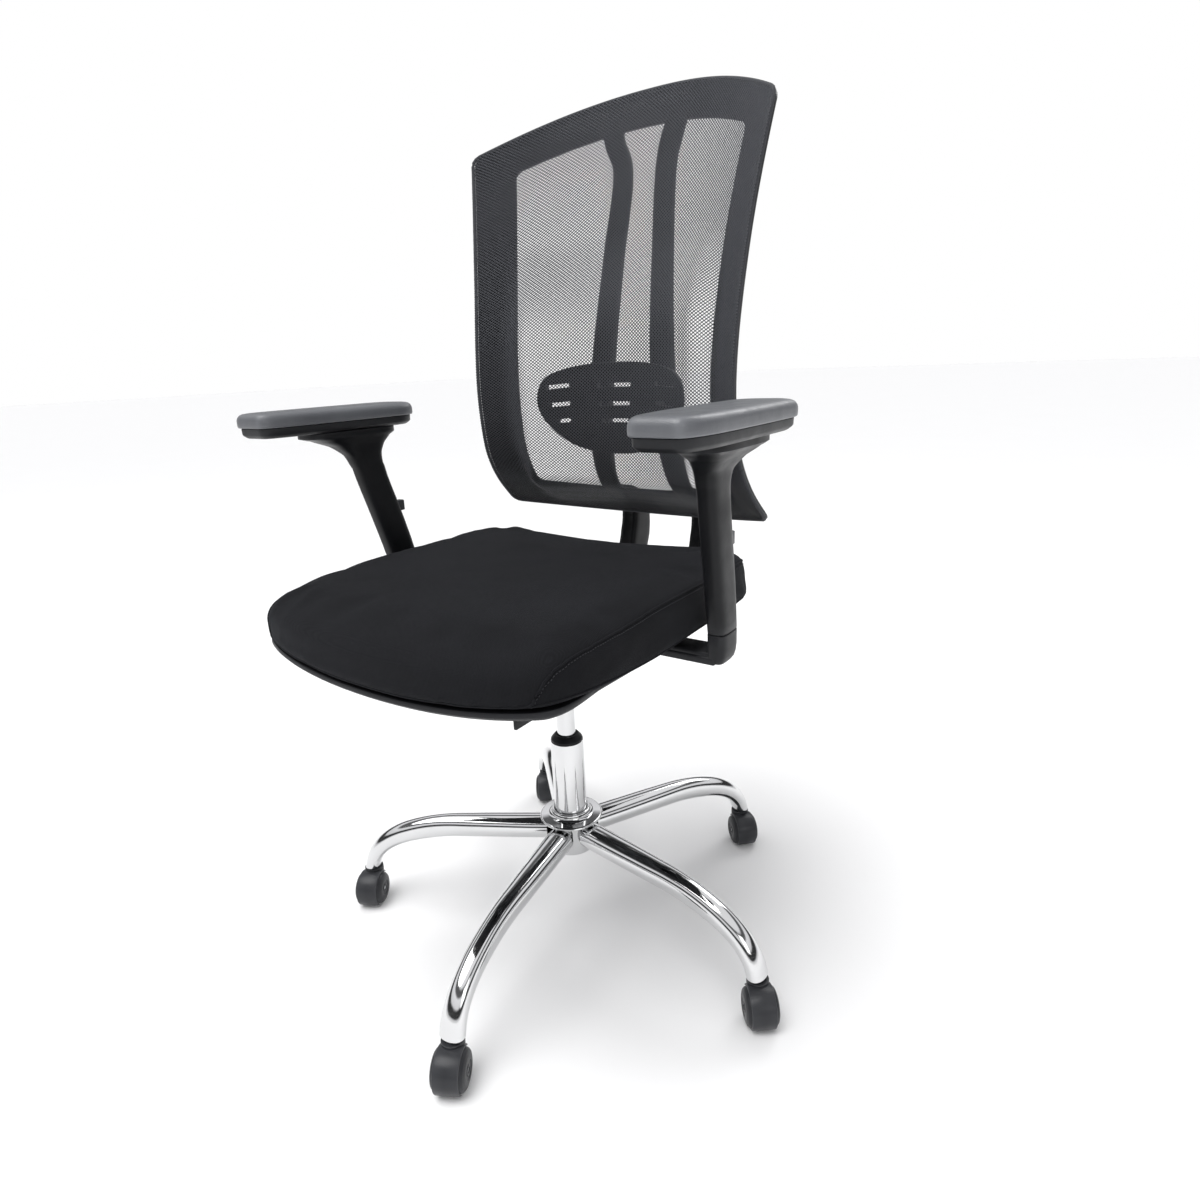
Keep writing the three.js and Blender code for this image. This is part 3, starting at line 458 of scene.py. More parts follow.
def thread_look():
    look = Look("seam_thread", (0.02, 0.021, 0.025), 0.7, Sheen_Weight=0.05, Specular_IOR_Level=0.3)
    twist = look.noise(900.0, 2.0)
    look.set("Base Color", look.mix(twist, (0.008, 0.0085, 0.01), (0.035, 0.036, 0.042)))
    look.bump(twist, 0.0004, 0.6)
    return look.material


def mesh_fabric_look():
    """Warp-knit net: diamond holes in staggered columns. UV is in metres on the flat cloth."""
    look = Look("back_fabric", (0.05, 0.052, 0.06), 0.72, Sheen_Weight=0.12, Sheen_Roughness=0.4,
                Sheen_Tint=(0.75, 0.79, 0.9, 1), Specular_IOR_Level=0.35)
    flat = look.node("SeparateXYZ", {0: look.node("UVMap").outputs[0]}).outputs
    column, row = NET_COLUMN, NET_ROW
    across = look.math("MULTIPLY", flat[0], 2 * math.pi / column)
    along = look.math("MULTIPLY", flat[1], 2 * math.pi / row)
    lattice = look.math("ADD", look.math("COSINE", across), look.math("COSINE", along))
    depth = look.math("ABSOLUTE", lattice)
    wobble = look.math("MULTIPLY", look.math("SUBTRACT", look.noise(260.0, 2.0), 0.5), 0.3)
    depth = look.math("ADD", depth, wobble)
    hole = look.math("GREATER_THAN", depth, NET_OPEN)
    patches = look.ramp(look.noise(6.0, 4.0), 0.3, 0.7)
    base = look.mix(patches, (0.03, 0.032, 0.038), (0.048, 0.05, 0.058))
    yarn = look.mix(look.ramp(look.noise(1400.0, 2.0), 0.3, 0.7), base, (0.085, 0.088, 0.1))
    # Painted shade: the net's colour darkens to near black over its lowest 0.26 m, standing in for less
    # light falling on the lower back.
    yarn = look.mix(look.ramp(flat[1], 0.04, 0.26), (0.006, 0.0062, 0.0072), yarn)
    look.set("Base Color", yarn)
    look.set("Alpha", look.math("SUBTRACT", 1.0, hole))
    look.bump(look.math("SUBTRACT", 2.0, depth), 0.0006, 0.9)
    look.set("Roughness", look.ramp(look.noise(300.0), 0.3, 0.7, 0.62, 0.82))
    return look.material


NET_COLUMN = 0.0058
NET_ROW = 0.0048
NET_OPEN = 0.66

CHROME = chrome_look()
STEEL = steel_look()
BLACK = plastic_look("black_plastic", (0.0042, 0.0044, 0.0053), (0.008, 0.0084, 0.0098), 0.38)
CASTER = plastic_look("caster_plastic", (0.017, 0.0176, 0.02), (0.027, 0.028, 0.031), 0.34,
                      grain=900.0, depth=0.0003, coat=0.1)
POWDER = powder_look()
PAD = pad_look()
SEAT_FABRIC = seat_fabric_look()
THREAD = thread_look()
BACK_FABRIC = mesh_fabric_look()

# ---------------------------------------------------------------- base

STEM_CIRCLE, LEG_END = 338, 61
HUB_RADIUS, HUB_BOTTOM, HUB_TOP = 36, 113, 180
HUB_FLANGE_BOTTOM, HUB_FLANGE_TOP = 164.5, 169.5
TUBE_RADIUS, TUBE_BORE, TUBE_BOTTOM, TUBE_TOP = 25, 22.6, 118, 296
LIFT_RADIUS, LIFT_BOTTOM, LIFT_TOP = 14, 216, 430
LEG_PATH = [(26, 144.5), (90, 142.5), (156, 140.5), (205, 138), (246, 131), (284, 119), (312, 102),
            (329, 82), (337, 61), (340, 50)]
CASTER_HEADINGS = (28, 37, 44, 35, 28)
FIRST_LEG, LEG_COUNT = 9.6, 5
WHEEL_RADIUS, CASTER_LEAD = 25, 16


def hub():
    collar, inner = TUBE_RADIUS + 5, TUBE_RADIUS + 0.3
    return lathe([
        (inner, HUB_BOTTOM), (HUB_RADIUS - 2, HUB_BOTTOM), (HUB_RADIUS, HUB_BOTTOM + 3),
        (HUB_RADIUS, HUB_FLANGE_BOTTOM), (47, HUB_FLANGE_BOTTOM), (49, 167), (47, HUB_FLANGE_TOP),
        (collar + 4, HUB_FLANGE_TOP + 1), (collar, 174), (collar, HUB_TOP), (inner, HUB_TOP)], 2.0, 96)


def leg():
    path = catmull([vec(0, -out, height) for out, height in LEG_PATH], 56)
    rings = []
    for i, centre in enumerate(path):
        t = i / (len(path) - 1)
        tangent = tangent_at(path, i)
        half_width = lerp(lerp(20.4, 15.6, smoothstep(t, 0, 0.45)), 17.6, smoothstep(t, 0.6, 0.95))
        half_height = lerp(18, 11.6, smoothstep(t, 0.35, 0.92))
        rings.append(oval(centre, RIGHT, unit(np.cross(RIGHT, tangent)), half_width, half_height, 32, 2.2))
    return skin(rings[1:])


def band(inner, outer, half, start, end, steps=36, soft=2.0):
    """A curved strip about the wheels' axle with rounded outer edges."""
    rings = []
    section = [(inner, -half), (outer - soft, -half), (outer - 0.3 * soft, -half + 0.3 * soft),
               (outer, -half + soft), (outer + 0.4, 0), (outer, half - soft),
               (outer - 0.3 * soft, half - 0.3 * soft), (outer - soft, half), (inner, half)]
    for angle in np.radians(np.linspace(start, end, steps)):
        rings.append([vec(x, -CASTER_LEAD - r * math.cos(angle), WHEEL_RADIUS + r * math.sin(angle))
                      for r, x in section])
    return skin(rings)


def hood():
    neck = lathe([(6, 30), (14, 30), (15, 50), (14.6, 56), (6, 56)], 1.0, 48)
    web = lathe([(3.4, -7.6), (26, -7.6), (26, 7.6), (3.4, 7.6)], 0.6, 48, "x")
    return both(band(25.8, 28.0, 16.5, -46, 140), neck, moved(web, 0, -CASTER_LEAD, WHEEL_RADIUS))


def wheel(side):
    profile = [(3.4, 8.4), (25, 8.4), (25, 14.5), (24.4, 17.4), (22, 20.2), (17, 21.9), (12, 22.2),
               (11, 21.4), (7, 21.2), (6, 22), (3.4, 22)]
    shape = lathe(profile, 1.2, 64, "x")
    return shape if side > 0 else flipped(shape)


def add_base():
    make("hub", hub(), CHROME, "base", "base_hub", angle=50)
    for i in range(LEG_COUNT):
        degrees = FIRST_LEG + 360 / LEG_COUNT * i
        number = i + 1
        make(f"leg_{number}", spun(leg(), degrees), CHROME, "base", f"base_leg_{number}",
             angle=50, cut_below=LEG_END)
        stem_x = STEM_CIRCLE * math.sin(math.radians(degrees))
        stem_y = -STEM_CIRCLE * math.cos(math.radians(degrees))
        place = lambda shape: moved(spun(shape, CASTER_HEADINGS[i]), stem_x, stem_y)
        body = f"caster_{number}"
        make(f"{body}_cover", place(hood()), CASTER, body, f"{body}_hood")
        for side, word in ((1, "left"), (-1, "right")):
            disc = moved(wheel(side), 0, -CASTER_LEAD, WHEEL_RADIUS)
            wheel_name = f"{body}_wheel_{word}"
            make(f"{body}_disc_{word}", place(disc), CASTER, wheel_name, wheel_name)


def add_lift():
    tube = lathe([(TUBE_BORE, TUBE_BOTTOM), (TUBE_RADIUS, TUBE_BOTTOM), (TUBE_RADIUS, TUBE_TOP),
                  (TUBE_BORE, TUBE_TOP)], 0.7, 96)
    make("lift_tube", tube, CHROME, "base", "lift_outer_tube")
    inside, sleeve = LIFT_RADIUS + 0.2, TUBE_BORE - 0.3
    bush = lathe([
        (inside, TUBE_TOP - 58), (sleeve, TUBE_TOP - 58), (sleeve, TUBE_TOP + 0.3), (24, TUBE_TOP + 0.3),
        (24, TUBE_TOP + 3), (18, TUBE_TOP + 10), (inside, TUBE_TOP + 10)], 1.0, 96)
    make("lift_bush", bush, BLACK, "base", "lift_guide_bush")
    cylinder = lathe([
        (10.5, LIFT_BOTTOM), (LIFT_RADIUS, LIFT_BOTTOM), (LIFT_RADIUS, 380), (12.8, LIFT_TOP),
        (3.6, LIFT_TOP), (3.6, 412), (10.5, 406)], 0.7, 96)
    make("lift_inner", cylinder, CHROME, "mechanism", "lift_cylinder")


# ---------------------------------------------------------------- tilt mechanism

KNOB_Y, KNOB_LOBES = -66, 12
PAN_HALF, PAN_FRONT, PAN_REAR, PAN_BOTTOM, PAN_TOP, PAN_WALL = 48, -112, 78, 396, 448, 4
LIFT_LEVER_Z, LOCK_LEVER_Y, LOCK_LEVER_Z = 439, -45, 436


def lever(y, inner, outer, z):
    """A round shaft to the right with a flat oval paddle on its end."""
    shaft = moved(rod(4, -outer, -inner, 0.8, 32, "x"), 0, y, z)
    middle = -(outer + 22)
    loop = spread([vec(middle + 32 * math.cos(a), y + 11 * math.sin(a))
                   for a in np.linspace(0, 2 * math.pi, 96, endpoint=False)], 64)
    levels = [(8, z - 3.2), (3, z - 2.8), (0.6, z - 1.6), (0, z), (0.6, z + 1.6), (3, z + 2.8), (8, z + 3.2)]
    return both(shaft, stacked(loop, levels))


def knob():
    """A grip with shallow lobes on a threaded spindle."""
    rings = []
    for radius, height, lobe in ((9, 363.6, 0), (16, 364, 0.6), (19.6, 366, 1.1), (20.6, 370, 1.3),
                                 (21.3, 386, 1.3), (20, 391, 0.8), (14, 392, 0)):
        angles = np.linspace(0, 2 * math.pi, 128, endpoint=False)
        reach = radius + lobe * np.cos(KNOB_LOBES * angles)
        rings.append([vec(r * math.cos(a), r * math.sin(a), height) for a, r in zip(angles, reach)])
    return moved(both(skin(rings), rod(5, 390, 440, 0.5, 32)), 0, KNOB_Y)


def housing():
    """An open-topped pan with a collar for the gas lift."""
    def pan(half, front, back, soft):
        corners = path2d((half, front + soft), ((half, back - soft),), ((half, back), (half - soft, back)),
                         ((-half + soft, back),), ((-half, back), (-half, back - soft)),
                         ((-half, front + soft),), ((-half, front), (-half + soft, front)),
                         ((half - soft, front),), ((half, front), (half, front + soft)))
        return spread(corners[:-1], 96)
    outside = pan(PAN_HALF, PAN_FRONT, PAN_REAR, 9)
    inside = pan(PAN_HALF - PAN_WALL, PAN_FRONT + PAN_WALL, PAN_REAR - PAN_WALL, 6)
    floor = PAN_BOTTOM + PAN_WALL
    rings = []
    for loop, inset, height in (
            (outside, 30, PAN_BOTTOM), (outside, 3, PAN_BOTTOM), (outside, 0.6, PAN_BOTTOM + 1),
            (outside, 0, floor), (outside, 0, PAN_TOP - 1), (outside, 0.5, PAN_TOP), (inside, 0, PAN_TOP),
            (inside, 0, floor + 2), (inside, 2, floor), (inside, 26, floor)):
        rings.append([vec(p[0], p[1], height) for p in inset_loop(loop, inset)])
    bore = LIFT_RADIUS + 0.4
    collar = lathe([(bore, 378), (23, 378), (23, 410), (bore, 410)], 1.5, 64)
    return both(skin(rings), collar)


def add_mechanism():
    make("tilt_pan", housing(), POWDER, "mechanism", "tilt_housing")
    make("tension_grip", knob(), BLACK, "tension_knob", "tilt_tension_knob")
    arm = block((-46, -4, 436.5), (5, 4, 441.5), 0.8)
    make("lift_paddle", both(lever(0, 40, 150, LIFT_LEVER_Z), arm), BLACK, "lift_lever", "lift_lever")
    make("lock_paddle", lever(LOCK_LEVER_Y, 38, 118, LOCK_LEVER_Z), BLACK, "lock_lever", "tilt_lock_lever")


# ---------------------------------------------------------------- seat

SEAT_TOP, SEAT_HALF, SEAT_FRONT, SEAT_REAR = 588, 250, -350, 165
TRAY_BOTTOM, TRAY_THICK = 503, 16
SEAT_PIVOT_Y, SEAT_PIVOT_Z = -98, 434


def seat_outline(count):
    half = path2d((0, SEAT_FRONT), ((160, SEAT_FRONT), (220, -320)),
                  ((SEAT_HALF, -303), (SEAT_HALF, -225)),
                  ((SEAT_HALF, -60), (249, 40), (246, 90)), ((240, SEAT_REAR), (180, SEAT_REAR)),
                  ((0, SEAT_REAR),))
    return spread(mirror_path(half), count)


def across_seat(x):
    return (x / SEAT_HALF) ** 2


def frontness(y):
    return smoothstep(-y, 110, -SEAT_FRONT)


def tray_bottom(x, y):
    return TRAY_BOTTOM + frontness(y) * (20 * across_seat(x) - 9)


def seat_top(x, y):
    dip = 11 * smoothstep(y, 0, SEAT_REAR) * (1 - across_seat(x))
    drop = 9 * frontness(y) * (1 - across_seat(x))
    return SEAT_TOP - dip - drop


def cushion_shape(shrink=0.0):
    """The foam block: boxed sides, a rolled front edge and a lightly dished top."""
    base = lambda lift: (lambda x, y: tray_bottom(x, y) + TRAY_THICK + 0.3 + shrink + lift)
    below = lambda drop, extra: (lambda x, y: seat_top(x, y) - shrink - drop - extra * frontness(y))
    front = lambda a, b: (lambda loop: shrink + a + b * frontness(loop[:, 1]))
    levels = [
        (60 + shrink, base(0)), (16 + shrink, base(0)), (5 + shrink, base(1)), (1 + shrink, base(6)),
        (shrink, base(16)), (shrink, below(26, 8)), (front(1, 1), below(17, 9)), (front(4, 4), below(9, 10)),
        (front(8, 8), below(4.5, 8)), (front(14, 12), below(2, 6)), (front(26, 16), below(0.4, 3)),
        (50, below(0, 1)), (90, below(1.2, 0)), (140, below(3, 0)), (190, below(4, 0))]
    return stacked(seat_outline(160), levels)


def tray():
    inset = lambda extra: (lambda loop: 7 + extra + 17 * smoothstep(loop[:, 1], -325, -215)
                           * smoothstep(np.abs(loop[:, 0]), 90, 220))
    lift = lambda rise: (lambda x, y: tray_bottom(x, y) + rise)
    shell = stacked(seat_outline(200), [
        (inset(60), lift(-4)), (inset(26), lift(0)), (inset(12), lift(3)), (inset(5), lift(6)),
        (inset(1.5), lift(8.5)), (inset(0), lift(10.5)), (inset(0), lift(TRAY_THICK - 2)),
        (inset(0.8), lift(TRAY_THICK - 0.7)), (inset(3), lift(TRAY_THICK)), (inset(60), lift(TRAY_THICK))])
    ears = [block((side * 55 - 4, SEAT_PIVOT_Y - 15, SEAT_PIVOT_Z - 12),
                  (side * 55 + 4, SEAT_PIVOT_Y + 17, TRAY_BOTTOM + 2), 1.5) for side in (1, -1)]
    ribs = [block((x - 2, -300, 488), (x + 2, 130, 500), 0.8) for x in (-170, -110, 110, 170)]
    return both(shell, *ears, *ribs)


def puff(piece, pressure, cap, frames=20, voxel=0.006):
    """Remeshes a padded piece, swells it as cloth under pressure and keeps each move under the cap."""
    remesh = piece.modifiers.new("remesh", "REMESH")
    remesh.mode, remesh.voxel_size = "VOXEL", voxel
    apply_modifiers(piece)
    rest = np.zeros(len(piece.data.vertices) * 3)
    piece.data.vertices.foreach_get("co", rest)
    rest = rest.reshape(-1, 3)
    low, high = rest[:, 2].min(), rest[:, 2].max()
    held = piece.vertex_groups.new(name="held")
    held.add([i for i, p in enumerate(rest) if p[2] < low + 0.24 * (high - low)], 1.0, "REPLACE")
    cloth = piece.modifiers.new("cloth", "CLOTH")
    cloth.settings.use_pressure = True
    cloth.settings.uniform_pressure_force = pressure
    cloth.settings.tension_stiffness = 25
    cloth.settings.compression_stiffness = 25
    cloth.settings.vertex_group_mass = "held"
    cloth.settings.effector_weights.gravity = 0
    cloth.point_cache.frame_start, cloth.point_cache.frame_end = 1, frames
    for number in range(1, frames + 1):
        scene.frame_set(number)
    depsgraph = bpy.context.evaluated_depsgraph_get()
    swollen = piece.evaluated_get(depsgraph).data
    new = np.zeros(len(swollen.vertices) * 3)
    swollen.vertices.foreach_get("co", new)
    move = new.reshape(-1, 3) - rest
    length = np.linalg.norm(move, axis=1)[:, None] + 1e-9
    rest = rest + move / length * cap * np.tanh(length / cap)
    piece.modifiers.clear()
    piece.vertex_groups.clear()
    scene.frame_set(1)
    piece.data.vertices.foreach_set("co", rest.ravel())
    relax = piece.modifiers.new("relax", "SMOOTH")
    relax.factor, relax.iterations = 0.5, 3
    fine = piece.modifiers.new("fine", "SUBSURF")
    fine.levels = fine.render_levels = 1
    apply_modifiers(piece)
    smooth(piece, 80)


def tube_along(points, radius, sides=8, loop=False, power=2.0):
    rings = []
    count = len(points)
    for i, p in enumerate(points):
        ahead = points[(i + 1) % count] if loop else points[min(i + 1, count - 1)]
        behind = points[i - 1] if loop else points[max(i - 1, 0)]
        tangent = unit(ahead - behind)
        side = unit(np.cross(tangent, UP if abs(tangent[2]) < 0.9 else RIGHT))
        rings.append(oval(p, side, unit(np.cross(side, tangent)), radius, radius, sides, power))
    return skin(rings, loop)


def on_surface(piece, points, lift=0.0):
    """Each point (mm) moved to the nearest place on the piece, then lifted off it."""
    out = []
    for p in points:
        found, place, normal, _ = piece.closest_point_on_mesh(Vector(AXIS + p * MM))
        out.append((np.array(place) - AXIS) / MM + np.array(normal) * lift if found else p)
    return out


def add_seat():
    make("seat_shell", tray(), BLACK, "seat", "seat_tray")
    cushion = make("seat_pad", cushion_shape(2.2), SEAT_FABRIC, "seat", "seat_cushion")
    puff(cushion, 4.0, 0.006)
    # Boxing seam along each side's top edge and down the front corner, with its row of stitches.
    for side, word in ((1, "left"), (-1, "right")):
        line = [vec(side * x, y, z) for x, y, z in (
            (212, -332, 524), (222, -330, 540), (228, -322, 556), (234, -306, 570), (240, -276, 580),
            (243, -225, 584), (245, -120, 585), (244, 0, 583), (240, 100, 579), (226, 148, 573),
            (196, 160, 570))]
        line = on_surface(cushion, [vec(*p) for p in spread(catmull(line, 160), 150, loop=False)], 0.1)
        make(f"seat_seam_{word}", tube_along(line, 1.5, 8), SEAT_FABRIC, "seat")
        stitches = []
        lower = on_surface(cushion, [p - vec(side * 1.0, 0, 5.5) for p in line], 0.35)
        dense = spread(lower, 260, loop=False)
        for k in range(2, len(dense) - 3, 2):
            stitches.append(tube_along([vec(*dense[k]), vec(*dense[k + 1])], 0.45, 6))
        make(f"seat_stitches_{word}", both(*stitches), THREAD, "seat")
    hem = []
    for p in seat_outline(260):
        x, y = p
        hem.append(vec(x * 0.985, y * 0.985 + (1 if y < 0 else -1), tray_bottom(x, y) + TRAY_THICK + 6))
    welt = on_surface(cushion, hem, 0.0)
    make("seat_welt", tube_along(welt, 1.4, 8, loop=True), SEAT_FABRIC, "seat")


# ---------------------------------------------------------------- arms (left side, mirrored for the right)

ARM_SECTIONS = [  # height, front edge, rear edge, middle in x, half width
    (527.5, -55, -9, 272, 12.5), (573, -66.5, -18, 274.5, 12.5), (640, -84.5, -35, 278, 12.5),
    (706, -102.5, -54, 282, 12.5), (726, -110, -54, 284, 14.5), (740, -126, -42, 291, 20),
    (750, -152, -26, 298, 28), (754, -166, -17, 300, 31), (762, -166, -17, 300, 31)]
PAD_X, PAD_FRONT, PAD_BACK, PAD_HALF, PAD_BOTTOM, PAD_TOP = 305, -243, 20, 44, 776, 795
SLEEVE_TOP = ARM_SECTIONS[-1][0]
BUTTON_Z = 641


def arm_ring(z, front, rear, x, half, sides=40, power=3.6):
    return oval(vec(x, (front + rear) / 2, z), RIGHT, vec(0, 1, 0), half, (rear - front) / 2, sides, power)


def arm_sleeve():
    rows = []
    for a, b in zip(ARM_SECTIONS, ARM_SECTIONS[1:]):
        for t in np.linspace(0, 1, 5)[:-1]:
            rows.append([lerp(p, q, t) for p, q in zip(a, b)])
    low, high = ARM_SECTIONS[0], ARM_SECTIONS[-1]
    rows = np.array([low, *rows[1:], high])
    for _ in range(2):  # eases the kinks between the stated sections
        rows[2:-6, 1:] = (rows[1:-7, 1:] + 2 * rows[2:-6, 1:] + rows[3:-5, 1:]) / 4
    rings = [arm_ring(low[0], low[1] + cut, low[2] - cut, low[3], low[4] - cut) for cut in (3, 0.8)]
    rings += [arm_ring(row[0] + (0.8 if i == 0 else 0), *row[1:]) for i, row in enumerate(rows[:-1])]
    rings += [arm_ring(SLEEVE_TOP - 0.8, *high[1:]),
              arm_ring(SLEEVE_TOP, high[1] + 0.8, high[2] - 0.8, high[3], high[4] - 0.8)]
    return skin(rings)


def post_centre(z):
    rise = (z - 527.5) / (706 - 527.5)
    return lerp(272, 282, rise), lerp(-32, -79.5, rise)


def arm_foot():
    z, front, rear, x, half = ARM_SECTIONS[0]
    rings = []
    for drop, cut, side in ((41, 16, 7), (40.5, 9, 4), (38.5, 4.5, 2.4), (35, 2.2, 1.2), (29, 0.8, 0.4),
                            (20, 0, 0), (2, 0, 0), (0.9, 0.6, 0.6), (0.6, 2, 2)):
        rings.append(arm_ring(z - drop, front + cut, rear - cut, x - side, half - side))
    bar = block((118, -54, z - 40), (x, -12, z - 30), 2.5)
    web = block((190, -52, z - 33), (x - 2, -14, z - 25), 3)
    return both(skin(rings), bar, web)


def pad_outline(count):
    """Blunt in front with a rounded outer corner, widest at two thirds, tapered round behind."""
    half = path2d((0, PAD_FRONT), ((PAD_HALF - 23, PAD_FRONT),),
                  ((PAD_HALF - 11, PAD_FRONT), (PAD_HALF - 6, PAD_FRONT + 32)),
                  ((PAD_HALF, PAD_FRONT + 60), (PAD_HALF, PAD_BACK - 70), (PAD_HALF - 1, PAD_BACK - 34)),
                  ((PAD_HALF - 4, PAD_BACK), (PAD_HALF - 34, PAD_BACK)), ((0, PAD_BACK),))
    return spread(mirror_path(half), count) + vec(PAD_X, 0)


def pad_rings(levels):
    """The pad's outline drawn in towards its middle by each level's amount, at its height."""
    loop = pad_outline(160)
    low, high = loop.min(0), loop.max(0)
    middle, half = (low + high) / 2, (high - low) / 2
    rings = []
    for inset, z in levels:
        ring = middle + (loop - middle) * (1 - inset / half)
        rings.append([vec(p[0], p[1], z) for p in ring])
    return skin(rings)


def arm_pad():
    return pad_rings([
        (30, PAD_BOTTOM), (12, PAD_BOTTOM), (2.2, PAD_BOTTOM), (0.8, PAD_BOTTOM + 0.6),
        (0.2, PAD_BOTTOM + 2.2), (0, PAD_BOTTOM + 6), (0.2, PAD_TOP - 9), (0.9, PAD_TOP - 6.4),
        (2.2, PAD_TOP - 4), (4.2, PAD_TOP - 2.1), (7.2, PAD_TOP - 0.9), (11.5, PAD_TOP - 0.25),
        (17, PAD_TOP), (24, PAD_TOP), (32, PAD_TOP)])


def pad_plate():
    low, high = SLEEVE_TOP + 0.3, PAD_BOTTOM - 0.3
    plate = pad_rings([(30, low), (10, low), (8.6, 763), (5, 766), (4, 767.5), (3.6, 775), (4.4, high),
                       (30, high)])
    screws = [moved(rod(3.6, 0, 1.2, 0.4, 24), PAD_X - 4, y, 761.4) for y in (-205, -12)]
    return both(plate, *screws)


def add_arms():
    for side, word in ((1, "left"), (-1, "right")):
        place = (lambda shape: shape) if side > 0 else flipped
        make(f"arm_foot_{word}", place(arm_foot()), BLACK, "seat", f"arm_bracket_{word}")
        make(f"arm_post_{word}", place(arm_sleeve()), BLACK, f"arm_{word}", f"arm_sleeve_{word}", angle=50)
        x, y = post_centre(BUTTON_Z)
        cap = block((x - 5.5, y + 18, BUTTON_Z - 8), (x + 5.5, y + 38, BUTTON_Z + 8), 1.4)
        make(f"arm_key_{word}", place(cap), CASTER, f"arm_button_{word}", f"arm_button_{word}")
        make(f"arm_plate_{word}", place(pad_plate()), BLACK, f"arm_pad_{word}", f"arm_pad_base_{word}")
        pad = make(f"arm_rest_{word}", place(arm_pad()), PAD, f"arm_pad_{word}", f"arm_pad_{word}", angle=60)


# ---------------------------------------------------------------- back

BACK_TOP, TOP_DROP, BACK_BOTTOM, BOTTOM_RISE = 1216, 71, 585, 30
WAIST_Z, WAIST_HALF, BACK_WRAP = 800, 219.5, 1.6e-3
BORDER, NET_THICK = 50, 2.6
WAIST_DEPTH, LUMBAR_PUSH = 103.5, 22
SIDE_EDGE = [(560, 242), (615, 189), (660, 144), (700, 119), (740, 108), (810, 103), (970, 124),
             (1145, 160), (1220, 176)]


def side_depth(z):
    """Depth of the back's side edge at a height: a smooth curve through SIDE_EDGE.

    Its slope at each stated point is the mean of the two straight runs that meet there.
    """
    heights, depths = np.array(SIDE_EDGE, float).T
    run = np.diff(depths) / np.diff(heights)
    slope = (np.append(run[0], run) + np.append(run, run[-1])) / 2
    z = np.clip(z, heights[0], heights[-1])
    i = np.clip(np.searchsorted(heights, z, side="right") - 1, 0, len(heights) - 2)
    gap = heights[i + 1] - heights[i]
    p = (z - heights[i]) / gap
    return ((2 * p**3 - 3 * p**2 + 1) * depths[i] + (p**3 - 2 * p**2 + p) * gap * slope[i]
            + (3 * p**2 - 2 * p**3) * depths[i + 1] + (p**3 - p**2) * gap * slope[i + 1])


def back_half(z):
    return WAIST_HALF + np.where(z > WAIST_Z, 2.14e-4, 4.4e-4) * (z - WAIST_Z) ** 2


def back_depth(x, z):
    return side_depth(z) + BACK_WRAP * (back_half(z) ** 2 - x * x)


def top_edge(x):
    return BACK_TOP - TOP_DROP * np.abs(x / 245) ** 2.1


def bottom_edge(x):
    return BACK_BOTTOM + BOTTOM_RISE * (x / 234.5) ** 2


def back_place(a, b, inset):
    across = lambda z: a * (back_half(z) - inset)
    up = lambda x: lerp(bottom_edge(x) + inset, top_edge(x) - inset, (b + 1) / 2)
    z = up(across(up(across(np.full_like(a, 900.0)))))
    return across(z), z


def lumbar_push(x, z):
    return ((1 - smoothstep(np.abs(x), 138, 190)) * (1 - smoothstep(z, 872, 1020))
            * smoothstep(z, 600, 670) * (LUMBAR_PUSH + np.maximum(0, side_depth(z) - WAIST_DEPTH)))


def net_depth(x, z):
    return back_depth(x, z) - lumbar_push(x, z)


def unit_outline(count, corner=0.035):
    flat = 1 - corner
    out = []
    for cx, cy, start in ((flat, -flat, -90), (flat, flat, 0), (-flat, flat, 90), (-flat, -flat, 180)):
        for angle in np.radians(np.linspace(start, start + 90, 16)):
            out.append(vec(cx + corner * math.cos(angle), cy + corner * math.sin(angle)))
    return spread(out, count)


def back_ring(loop, inset, offset, depth=back_depth):
    x, z = back_place(loop[:, 0], loop[:, 1], inset)
    y = depth(x, z) + offset
    return [vec(*p) for p in zip(x, y, z)]


def frame_border():
    loop = unit_outline(360)
    front, rear = NET_THICK + 3.8, 17
    return skin([
        back_ring(loop, 1.6, front), back_ring(loop, 0.4, front + 1.5), back_ring(loop, 0, rear - 6),
        back_ring(loop, 0.9, rear - 2), back_ring(loop, 3, rear), back_ring(loop, 9, rear + 0.2),
        back_ring(loop, BORDER - 9, rear + 0.2), back_ring(loop, BORDER - 3, rear - 0.4),
        back_ring(loop, BORDER - 0.6, rear - 2.6), back_ring(loop, BORDER, rear - 6),
        back_ring(loop, BORDER - 0.4, front + 1.2), back_ring(loop, BORDER - 2, front),
        back_ring(loop, 25, front)], loop=True)


SPINE = [  # x, how far its front lies behind the back's surface, height, half width, half depth
    (57, 6, 1178, 17, 5), (49, 7, 1150, 16.5, 6), (38, 15, 1118, 15.5, 8), (43, 24, 990, 15.5, 11),
    (52, 28, 850, 17.5, 13), (61, 22, 735, 18, 13), (67, 8, 655, 18, 6), (70, 7, 617, 17, 5)]


def stations(rows, t):
    place = t * (len(rows) - 1)
    i = min(int(place), len(rows) - 2)
    return [lerp(a, b, place - i) for a, b in zip(rows[i], rows[i + 1])]


def spine():
    path = catmull([vec(x, float(back_depth(x, z)) + setback + half, z)
                    for x, setback, z, _, half in SPINE], 64)
    rings = []
    for i, centre in enumerate(path):
        tangent = tangent_at(path, i)
        across = unit(RIGHT - tangent * tangent[0])
        _, _, _, width, depth = stations(SPINE, i / 64)
        rings.append(oval(centre, across, unit(np.cross(tangent, across)), width, depth, 28, 4))
    return skin(rings)


LUMBAR_HALF, LUMBAR_BOTTOM, LUMBAR_TOP = 129, 705, 840
SLIT_ROWS = ((755, 24, 11), (780, 28, 17), (807, 30, 19))  # height, half length: middle, sides
SLIT_INNER_END, SLIT_SLOPE = 76, 0.07


